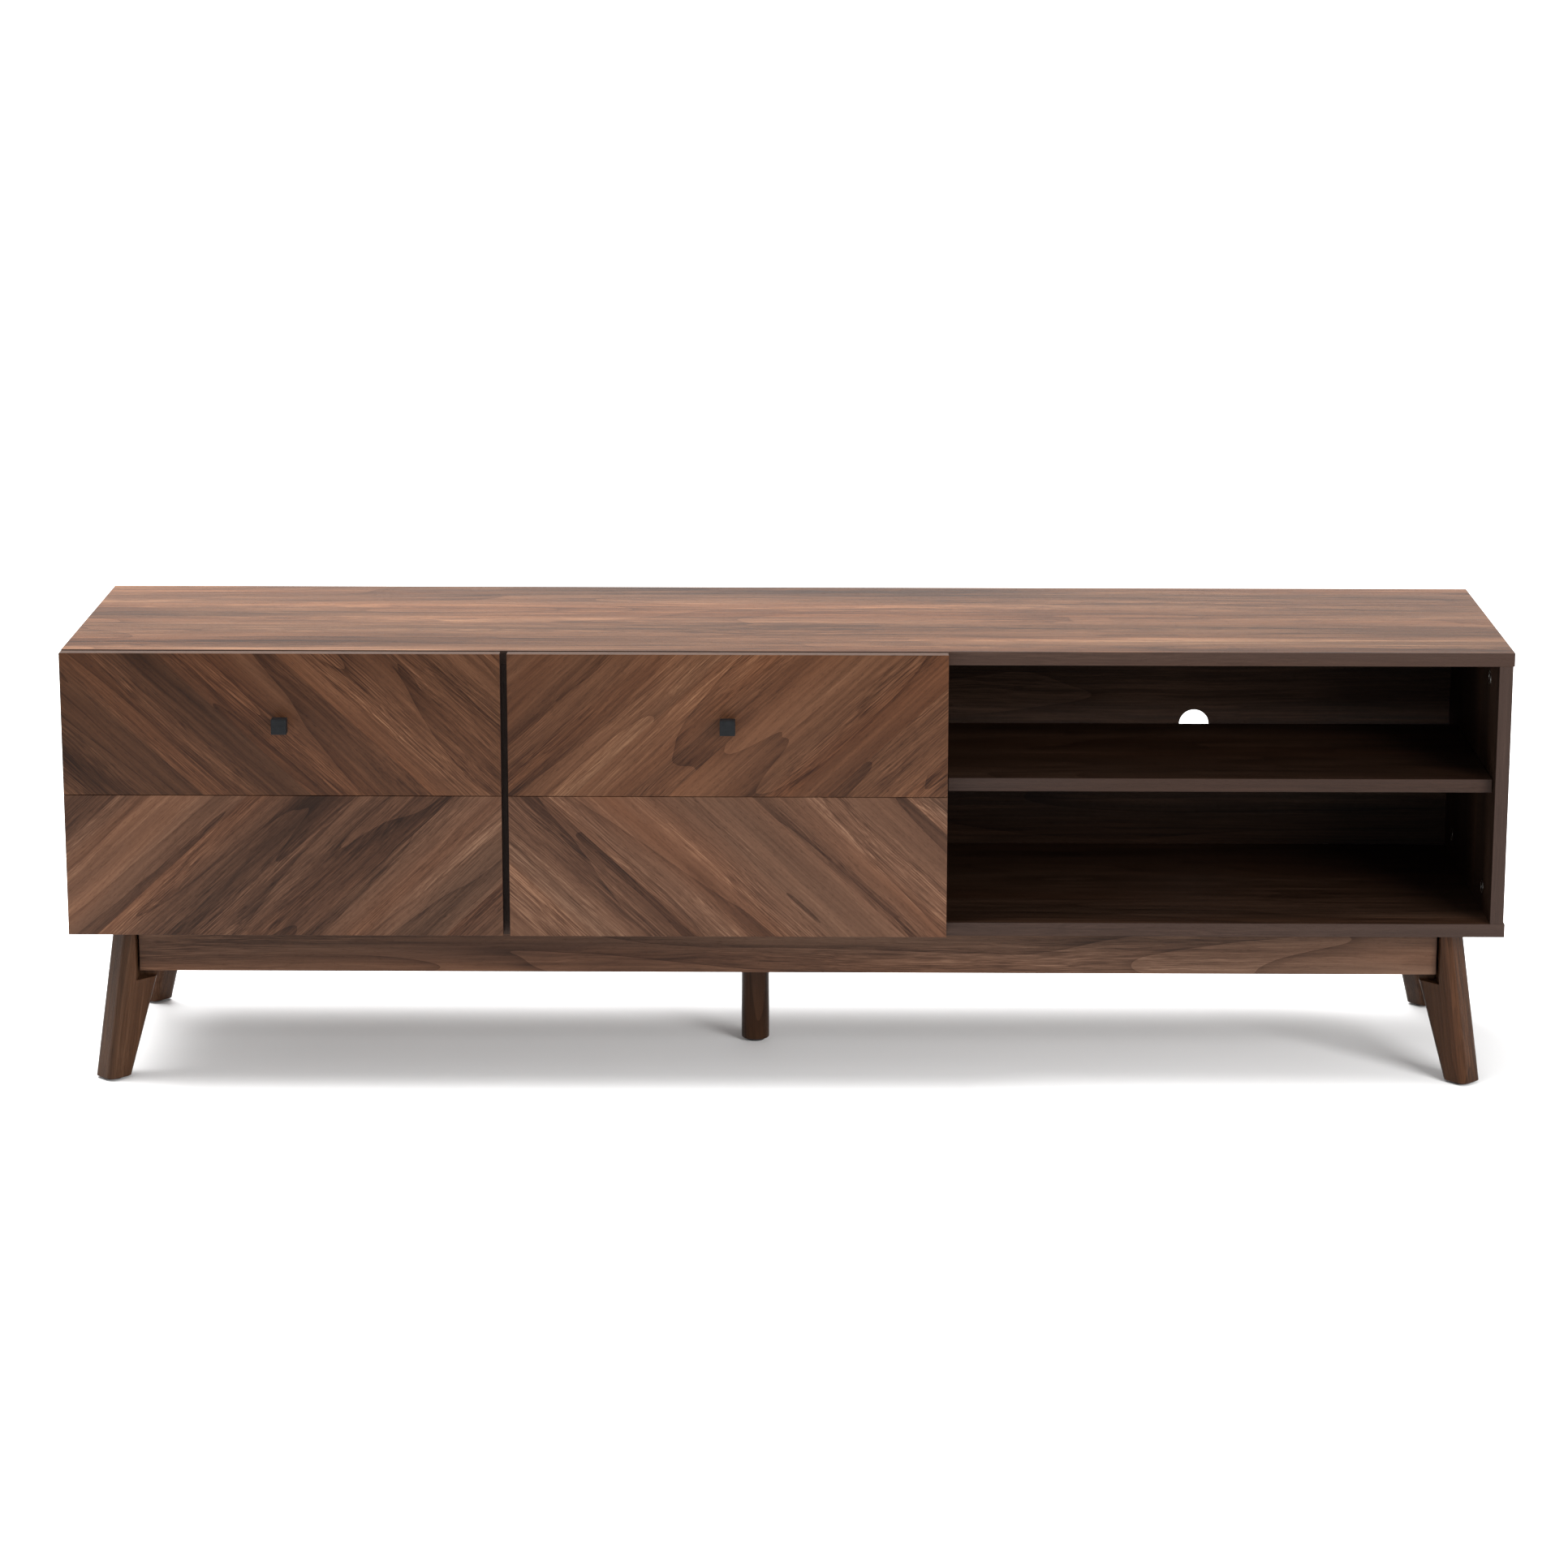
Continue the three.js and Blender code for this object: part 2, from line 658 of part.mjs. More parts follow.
function addFlap(index, name, stayFace, inward) {
  const [x0, x1] = FLAP.rims[index];
  const [, bay0, bay1] = bays[index];
  const middle = (x0 + x1) / 2;
  const hinges = hingePlaces(bay0, bay1);
  const cupBores = hinges.map(([, x]) => {
    const deep = [flapBack - HINGE.cupDepth - CUT_GAP, flapBack + OVERRUN];
    return rodY(HINGE.cupRadius + CUT_GAP, x, deep, cupZ, SIDES.large);
  });
  const through = [flapFront - OVERRUN, flapBack + OVERRUN];
  const screwBore = rodY(KNOB.screwRadius + CUT_GAP, middle, through, KNOB.z);
  const board = cut(flapBlank(FLAP.rims[index]), faceGroove([x0, x1]), ...cupBores, screwBore);
  add(`flap_panel_${name}`, "walnut_flap", board);
  add(`knob_${name}`, "gunmetal", knob(middle));
  add(`knob_screw_${name}`, "plated_steel", knobScrew(middle));
  hinges.forEach(([end, x]) => {
    add(`hinge_cup_${name}_${end}`, "plated_steel", hingeCup(x));
    add(`hinge_arm_${name}_${end}`, "plated_steel", hingeArm(x));
  });
  add(`stay_bracket_${name}`, "plated_steel", stayBracket(stayFace, inward));
  add(`stay_anchor_${name}`, "plated_steel", stayAnchor(stayFace, inward));
  add(`stay_bar_${name}`, "plated_steel", stayBar(stayFace, inward));

  const half = CATCH.width / 2;
  const catchY = [CATCH.setBack, CATCH.setBack + CATCH.depth];
  const catchZ = [roof - CATCH.height, roof];
  add(`magnet_catch_${name}`, "black_plastic", block([middle - half, middle + half], catchY, catchZ));
  const strikeY = [flapBack, flapBack + CATCH.strike];
  const strikeX = [middle - half + CATCH.strikeInset, middle + half - CATCH.strikeInset];
  add(`strike_plate_${name}`, "plated_steel", block(strikeX, strikeY, catchZ));
}

addTopAndBottom();
addUprights();
addBacks();
addShelf();
addCamLocks();
addRails();
addLegs();
addCentreLeg();
addFlap(0, "left", -BAYS.inner, 1);
addFlap(1, "right", BAYS.dividers[1], -1);

// The origin moves to the middle of the space between the knobs' faces and the back edge.

const knobFace = flapFront - KNOB.neck - KNOB.depth;
cabinet.position.y = -(CARCASS_DEPTH + knobFace) / 2;

export default cabinet;
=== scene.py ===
"""Walnut television cabinet with two drop-front flaps and an open bay, on splayed legs.

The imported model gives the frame: its boxes say where every board and fitting sits. This script
models the finished boards, legs, knobs and fittings around it, dresses them in walnut, steel and
plastic, and sets up a pale studio.
"""

import logging
import math
from contextlib import contextmanager
from dataclasses import dataclass, replace
from enum import Enum
from typing import Callable, Iterator, Optional, Sequence, Union

import bmesh
import bpy
from mathutils import Euler, Matrix, Vector


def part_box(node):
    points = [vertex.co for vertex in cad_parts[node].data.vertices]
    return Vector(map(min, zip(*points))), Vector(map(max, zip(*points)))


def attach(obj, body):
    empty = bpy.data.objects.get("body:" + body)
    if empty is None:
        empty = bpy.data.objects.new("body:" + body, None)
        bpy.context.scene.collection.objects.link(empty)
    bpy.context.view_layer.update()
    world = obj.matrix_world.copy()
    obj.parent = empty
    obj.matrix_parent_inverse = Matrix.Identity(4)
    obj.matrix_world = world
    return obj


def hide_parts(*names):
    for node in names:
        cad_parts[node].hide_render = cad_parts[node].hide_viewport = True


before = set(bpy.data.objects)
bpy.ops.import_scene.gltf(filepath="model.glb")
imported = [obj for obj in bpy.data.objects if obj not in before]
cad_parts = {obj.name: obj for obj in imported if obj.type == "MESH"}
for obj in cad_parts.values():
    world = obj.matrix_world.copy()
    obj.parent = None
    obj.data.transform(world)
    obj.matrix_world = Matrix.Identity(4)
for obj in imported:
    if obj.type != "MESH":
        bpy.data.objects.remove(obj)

LOG = logging.getLogger("cabinet")
MM = 0.001
MOSTLY = 0.6
DOWN, UP = Vector((0.0, 0.0, -1.0)), Vector((0.0, 0.0, 1.0))
FRONT, BACK = Vector((0.0, -1.0, 0.0)), Vector((0.0, 1.0, 0.0))
LEFT, RIGHT = Vector((-1.0, 0.0, 0.0)), Vector((1.0, 0.0, 0.0))

Colour = tuple[float, float, float]
Piece = bpy.types.Object
Socket = bpy.types.NodeSocket
Value = Union[Socket, float, Sequence[float]]
FaceTest = Callable[[Vector, Vector], bool]


# ---------------------------------------------------------------- modelling bench


class Bench:
    """The modelling bench: short calls for the operators that shape a piece."""

    @staticmethod
    def clear() -> None:
        """Leaves edit mode and deselects everything."""
        if bpy.context.object is not None and bpy.context.object.mode != "OBJECT":
            bpy.ops.object.mode_set(mode="OBJECT")
        bpy.ops.object.select_all(action="DESELECT")

    @staticmethod
    def pick(piece: Piece) -> Piece:
        """Selects one piece alone and makes it active.

        Args:
            piece: The piece to select.

        Returns:
            The piece.
        """
        Bench.clear()
        piece.select_set(True)
        bpy.context.view_layer.objects.active = piece
        return piece

    @staticmethod
    def settle(name: str) -> Piece:
        """Names the new primitive and moves its place, turn and scale into its mesh.

        Args:
            name: The name of the piece.

        Returns:
            The piece, with its object at the origin.
        """
        piece = bpy.context.object
        piece.name = name
        piece.data.name = name
        bpy.ops.object.transform_apply(location=True, rotation=True, scale=True)
        return piece

    @staticmethod
    def block(name: str, low: Vector, high: Vector, turn: Sequence[float] = (0.0, 0.0, 0.0)) -> Piece:
        """Adds a block between two corners.

        Args:
            name: The name of the piece.
            low: Its lowest corner.
            high: Its highest corner.
            turn: Euler angles of a turn about its own middle.

        Returns:
            The block.
        """
        Bench.clear()
        low, high = Vector(low), Vector(high)
        bpy.ops.mesh.primitive_cube_add(
            size=1.0, location=(low + high) / 2, rotation=turn, scale=high - low
        )
        return Bench.settle(name)

    @staticmethod
    def rod(name: str, radius: float, start: Vector, end: Vector, sides: int = 48) -> Piece:
        """Adds a round rod between two points.

        Args:
            name: The name of the piece.
            radius: Its radius.
            start: The middle of its first end.
            end: The middle of its other end.
            sides: How many sides stand for the round.

        Returns:
            The rod.
        """
        Bench.clear()
        start, end = Vector(start), Vector(end)
        turn = (end - start).to_track_quat("Z", "Y").to_euler()
        bpy.ops.mesh.primitive_cylinder_add(
            vertices=sides,
            radius=radius,
            depth=(end - start).length,
            location=(start + end) / 2,
            rotation=turn,
        )
        return Bench.settle(name)

    @staticmethod
    @contextmanager
    def faces(piece: Piece, wanted: FaceTest) -> Iterator[None]:
        """Opens a piece in edit mode with the wanted faces selected.

        Args:
            piece: The piece to edit.
            wanted: Says from a face's middle and normal whether it is selected.

        Yields:
            Nothing; the piece leaves edit mode at the end.
        """
        Bench.pick(piece)
        bpy.ops.object.mode_set(mode="EDIT")
        bpy.ops.mesh.select_mode(type="FACE")
        bpy.ops.mesh.select_all(action="DESELECT")
        mesh = bmesh.from_edit_mesh(piece.data)
        for face in mesh.faces:
            face.select_set(wanted(face.calc_center_median(), face.normal))
        bmesh.update_edit_mesh(piece.data)
        yield
        bpy.ops.object.mode_set(mode="OBJECT")

    @staticmethod
    def slice(piece: Piece, point: Vector, normal: Vector) -> None:
        """Cuts a loop of edges where a plane crosses the whole piece.

        Args:
            piece: The piece to cut.
            point: A point on the plane.
            normal: The plane's normal.
        """
        with Bench.faces(piece, lambda middle, facing: True):
            bpy.ops.mesh.bisect(plane_co=point, plane_no=normal)

    @staticmethod
    def finish_modifier(piece: Piece, modifier: bpy.types.Modifier) -> None:
        """Applies a modifier to its piece."""
        Bench.pick(piece)
        bpy.ops.object.modifier_apply(modifier=modifier.name)

    @staticmethod
    def combine(piece: Piece, other: Piece, operation: str) -> Piece:
        """Joins another shape to a piece or cuts it away, and removes the other shape.

        Args:
            piece: The piece that stays.
            other: The shape that is used up.
            operation: UNION or DIFFERENCE.

        Returns:
            The piece.
        """
        modifier = piece.modifiers.new("Shape", "BOOLEAN")
        modifier.operation = operation
        modifier.solver = "EXACT"
        modifier.object = other
        Bench.finish_modifier(piece, modifier)
        mesh = other.data
        bpy.data.objects.remove(other)
        bpy.data.meshes.remove(mesh)
        return piece

    @staticmethod
    def cut(piece: Piece, *tools: Piece) -> Piece:
        """Cuts tools out of a piece, one after another.

        Args:
            piece: The piece that stays.
            *tools: The shapes to cut away.

        Returns:
            The piece.
        """
        for tool in tools:
            Bench.combine(piece, tool, "DIFFERENCE")
        return piece

    @staticmethod
    def join(piece: Piece, *parts: Piece) -> Piece:
        """Joins parts to a piece into one closed body.

        Args:
            piece: The piece that stays.
            *parts: The shapes to join to it.

        Returns:
            The piece.
        """
        for part in parts:
            Bench.combine(piece, part, "UNION")
        return piece

    @staticmethod
    def ease(piece: Piece, width: float, segments: int = 2, angle: float = 32.0) -> Piece:
        """Eases the sharp edges of a piece and shades it by its large faces.

        Args:
            piece: The piece to ease.
            width: The width of the rounding.
            segments: The steps in the rounding.
            angle: Edges sharper than this many degrees are eased.

        Returns:
            The piece.
        """
        bevel = piece.modifiers.new("Eased", "BEVEL")
        bevel.width = width
        bevel.segments = segments
        bevel.limit_method = "ANGLE"
        bevel.angle_limit = math.radians(angle)
        bevel.use_clamp_overlap = True
        Bench.finish_modifier(piece, bevel)
        return Bench.shade(piece)

    @staticmethod
    def shade(piece: Piece, angle: float = 50.0) -> Piece:
        """Shades a piece smooth across soft edges, with its large faces kept flat.

        Args:
            piece: The piece to shade.
            angle: Edges sharper than this many degrees stay sharp.

        Returns:
            The piece.
        """
        Bench.pick(piece)
        bpy.ops.object.shade_smooth_by_angle(angle=math.radians(angle))
        weighted = piece.modifiers.new("Flat faces", "WEIGHTED_NORMAL")
        weighted.keep_sharp = True
        weighted.weight = 100
        Bench.finish_modifier(piece, weighted)
        return piece

    @staticmethod
    def dress(piece: Piece, material: bpy.types.Material, wanted: Optional[FaceTest] = None) -> Piece:
        """Gives a piece a material, all over or on some of its faces.

        Args:
            piece: The piece to dress.
            material: Its material.
            wanted: Says which faces take it; without it all of them do.

        Returns:
            The piece.
        """
        piece.data.materials.append(material)
        index = len(piece.data.materials) - 1
        for face in piece.data.polygons:
            if wanted is None or wanted(face.center, face.normal):
                face.material_index = index
        return piece

    @staticmethod
    def copy(piece: Piece, name: str, place: Matrix) -> Piece:
        """Copies a model with a mesh of its own, and moves the copy's mesh to a place.

        Args:
            piece: The model.
            name: The name of the copy.
            place: Where the copy goes.

        Returns:
            The copy.
        """
        twin = piece.copy()
        twin.data = piece.data.copy()
        twin.name = name
        twin.data.name = name
        bpy.context.scene.collection.objects.link(twin)
        twin.data.transform(place)
        return twin

    @staticmethod
    def discard(piece: Piece) -> None:
        """Removes a model that has been copied.

        Args:
            piece: The model.
        """
        mesh = piece.data
        bpy.data.objects.remove(piece)
        bpy.data.meshes.remove(mesh)


def fit(piece: Piece, body: str, slot: str, *nodes: str) -> Piece:
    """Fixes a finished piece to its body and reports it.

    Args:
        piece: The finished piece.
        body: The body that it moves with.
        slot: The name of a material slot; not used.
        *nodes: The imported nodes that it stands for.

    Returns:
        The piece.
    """
    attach(piece, body)
    if nodes:
        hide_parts(*nodes)
    LOG.info("%s on %s, %d faces", piece.name, body, len(piece.data.polygons))
    return piece


def facing(direction: Vector, least: float = 0.7) -> FaceTest:
    """Makes a test for faces that look a given way."""
    return lambda middle, normal: normal.dot(direction) > least


def at_ends(middle: Vector, normal: Vector) -> bool:
    """Picks the faces at the left and right ends of a board."""
    return abs(normal.x) > MOSTLY


def at_front_or_rear(front: float) -> FaceTest:
    """Makes a test for a board's front band, up to a depth, and for its rear edge."""
    return lambda middle, normal: middle.y < front or normal.y > MOSTLY


# ---------------------------------------------------------------- finishes


class Graph:
    """A material's node tree, with short calls for the nodes that the finishes use."""

    def __init__(self, name: str) -> None:
        """Starts a material with a Principled shader and Object coordinates.

        Args:
            name: The name of the material.
        """
        self.material = bpy.data.materials.new(name)
        self.material.use_nodes = True
        self.tree = self.material.node_tree
        self.shader = self.tree.nodes["Principled BSDF"]
        self.place = self.tree.nodes.new("ShaderNodeTexCoord").outputs["Object"]

    def feed(self, socket: Socket, value: Value) -> None:
        """Links a socket to another one, or sets its value.

        Args:
            socket: The input socket.
            value: An output socket to link, or a value to set.
        """
        if isinstance(value, bpy.types.NodeSocket):
            self.tree.links.new(value, socket)
        else:
            socket.default_value = value

    def mapped(
        self,
        vector: Socket,
        turn: Sequence[float] = (0.0, 0.0, 0.0),
        shift: Sequence[float] = (0.0, 0.0, 0.0),
        scale: Sequence[float] = (1.0, 1.0, 1.0),
    ) -> Socket:
        """Scales, turns and shifts a vector, in that order.

        Args:
            vector: The vector.
            turn: Euler angles.
            shift: How far it is moved.
            scale: The scale along each axis.

        Returns:
            The new vector.
        """
        node = self.tree.nodes.new("ShaderNodeMapping")
        self.feed(node.inputs["Vector"], vector)
        node.inputs["Rotation"].default_value = turn
        node.inputs["Location"].default_value = shift
        node.inputs["Scale"].default_value = scale
        return node.outputs["Vector"]

    def noise(
        self,
        vector: Socket,
        scale: Sequence[float],
        detail: float = 2.0,
        rough: float = 0.5,
        warp: float = 0.0,
    ) -> Socket:
        """Noise from 0 to 1.

        Args:
            vector: The place in metres.
            scale: Cycles per metre along each axis.
            detail: How many finer layers are added.
            rough: How strong each finer layer is against the last one.
            warp: How much the noise is distorted.

        Returns:
            The noise.
        """
        node = self.tree.nodes.new("ShaderNodeTexNoise")
        self.feed(node.inputs["Vector"], self.mapped(vector, scale=scale))
        node.inputs["Scale"].default_value = 1.0
        node.inputs["Detail"].default_value = detail
        node.inputs["Roughness"].default_value = rough
        node.inputs["Distortion"].default_value = warp
        return node.outputs["Fac"]

    def cells(self, vector: Socket, scale: Sequence[float]) -> Socket:
        """Distance to the nearest of scattered points, for flecks and knots.

        Args:
            vector: The place in metres.
            scale: Points per metre along each axis.

        Returns:
            The distance, in cells.
        """
        node = self.tree.nodes.new("ShaderNodeTexVoronoi")
        self.feed(node.inputs["Vector"], self.mapped(vector, scale=scale))
        node.inputs["Scale"].default_value = 1.0
        return node.outputs["Distance"]

    def math(self, operation: str, first: Value, second: Value = 0.0, clamp: bool = False) -> Socket:
        """One step of arithmetic.

        Args:
            operation: The name of the operation.
            first: Its first value.
            second: Its second value.
            clamp: Whether the result is kept from 0 to 1.

        Returns:
            The result.
        """
        node = self.tree.nodes.new("ShaderNodeMath")
        node.operation = operation
        node.use_clamp = clamp
        self.feed(node.inputs[0], first)
        self.feed(node.inputs[1], second)
        return node.outputs[0]

    def swing(self, value: Socket, gain: float, middle: float = 0.5) -> Socket:
        """A value's distance from its middle, times a gain."""
        return self.math("MULTIPLY", self.math("SUBTRACT", value, middle), gain)

    def total(self, *values: Value) -> Socket:
        """The sum of several values.

        Args:
            *values: The values to add.

        Returns:
            Their sum.
        """
        result = values[0]
        for value in values[1:]:
            result = self.math("ADD", result, value)
        return result

    def split(self, vector: Socket) -> Sequence[Socket]:
        """The three parts of a vector.

        Args:
            vector: The vector.

        Returns:
            Its three parts.
        """
        node = self.tree.nodes.new("ShaderNodeSeparateXYZ")
        self.feed(node.inputs[0], vector)
        return node.outputs

    def merge(self, x: Value, y: Value, z: Value) -> Socket:
        """A vector of three parts.

        Args:
            x: The first part.
            y: The second part.
            z: The third part.

        Returns:
            The vector.
        """
        node = self.tree.nodes.new("ShaderNodeCombineXYZ")
        for socket, value in zip(node.inputs, (x, y, z)):
            self.feed(socket, value)
        return node.outputs[0]

    def dice(self, number: Socket) -> Sequence[Socket]:
        """A random value and a random colour for each whole number.

        Args:
            number: The whole number.

        Returns:
            The value and the colour.
        """
        node = self.tree.nodes.new("ShaderNodeTexWhiteNoise")
        node.noise_dimensions = "1D"
        self.feed(node.inputs["W"], number)
        return node.outputs

    def ramp(self, factor: Socket, stops: Sequence[tuple[float, Colour]]) -> Socket:
        """A colour between stops.

        Args:
            factor: The position, from 0 to 1.
            stops: The positions and their colours.

        Returns:
            The colour.
        """
        node = self.tree.nodes.new("ShaderNodeValToRGB")
        elements = node.color_ramp.elements
        while len(elements) < len(stops):
            elements.new(0.5)
        for element, (position, colour) in zip(elements, stops):
            element.position = position
            element.color = (*colour, 1.0)
        self.feed(node.inputs[0], factor)
        return node.outputs["Color"]

    def mix(self, factor: Value, first: Value, second: Value, blend: str = "MIX") -> Socket:
        """Two colours mixed.

        Args:
            factor: How much of the second colour is taken.
            first: The first colour.
            second: The second colour.
            blend: The way that they are blended.

        Returns:
            The mixed colour.
        """
        node = self.tree.nodes.new("ShaderNodeMix")
        node.data_type = "RGBA"
        node.blend_type = blend
        self.feed(node.inputs["Factor"], factor)
        for name, value in (("A", first), ("B", second)):
            socket = [s for s in node.inputs if s.name == name and s.type == "RGBA"][0]
            self.feed(socket, value if isinstance(value, bpy.types.NodeSocket) else (*value, 1.0))
        return [s for s in node.outputs if s.type == "RGBA"][0]

    def bump(self, height: Socket, depth: float, strength: float = 1.0) -> None:
        """Raises the surface by a height.

        Args:
            height: The height, from 0 to 1.
            depth: What a height of 1 stands for, in metres.
            strength: How strongly the light follows the height.
        """
        node = self.tree.nodes.new("ShaderNodeBump")
        node.inputs["Strength"].default_value = strength
        node.inputs["Distance"].default_value = depth
        self.feed(node.inputs["Height"], height)
        self.feed(self.shader.inputs["Normal"], node.outputs["Normal"])

    def set(self, **sockets: Value) -> None:
        """Sets or links sockets of the shader, with underscores for spaces in their names."""
        for name, value in sockets.items():
            self.feed(self.shader.inputs[name.replace("_", " ")], value)


CHEVRON_ANGLE = math.radians(43)


class Grain(Enum):
    """The turn that brings a board's grain onto the X axis."""

    ALONG_X = (0.0, 0.0, 0.0)
    ALONG_Y = (0.0, 0.0, -math.pi / 2)
    ALONG_Z = (0.0, math.pi / 2, 0.0)
    RISING = (0.0, CHEVRON_ANGLE, 0.0)
    FALLING = (0.0, -CHEVRON_ANGLE, 0.0)


Palette = tuple[tuple[float, Colour], ...]

VENEER: Palette = (
    (0.00, (0.0110, 0.0045, 0.0023)),
    (0.25, (0.0280, 0.0118, 0.0062)),
    (0.50, (0.0540, 0.0243, 0.0131)),
    (0.75, (0.0840, 0.0400, 0.0225)),
    (1.00, (0.1480, 0.0790, 0.0470)),
)
EDGE_BAND: Palette = (
    (0.00, (0.0135, 0.0078, 0.0060)),
    (0.50, (0.0275, 0.0162, 0.0124)),
    (1.00, (0.0500, 0.0315, 0.0245)),
)
# Painted shade: a darker palette for the faces inside the bays, which stand in shade.
PAINTED_SHADE_VENEER: Palette = (
    (0.00, (0.0052, 0.0022, 0.0012)),
    (0.50, (0.0176, 0.0085, 0.0049)),
    (1.00, (0.0430, 0.0230, 0.0145)),
)
SOLID_WALNUT: Palette = (
    (0.00, (0.0100, 0.0042, 0.0019)),
    (0.35, (0.0260, 0.0112, 0.0051)),
    (0.60, (0.0470, 0.0206, 0.0098)),
    (1.00, (0.0970, 0.0475, 0.0258)),
)

# How often each feature of the wood comes in a metre: along the grain, then both ways across it.
BROAD_SCALE = (0.9, 15.0, 15.0)
CONTOUR_SCALE = (1.5, 11.0, 11.0)
STREAK_SCALE = (5.0, 240.0, 240.0)
COMB_SCALE = (1.6, 26.0, 26.0)
FIBRE_SCALE = (22.0, 900.0, 900.0)
PORE_SCALE = (150.0, 2100.0, 2100.0)
KNOT_SCALE = (2.3, 9.0, 9.0)
DRIFT_SCALE = (1.1, 15.0, 15.0)
SWAY_SCALE = (3.0, 8.0, 8.0)
RIPPLE_SCALE = (14.0, 45.0, 45.0)

SWAY = 0.016
RIPPLE = 0.004
KNOT_RADIUS = 0.12
STRIP_SCALE = (1.0, 1.0, 9.0)
STRIP_WANDER = 1.2
LOG_LENGTH = 9.0
LOG_WIDTH = 5.0
COOL: Colour = (0.78, 0.88, 0.94)
WARM: Colour = (1.12, 0.95, 0.80)


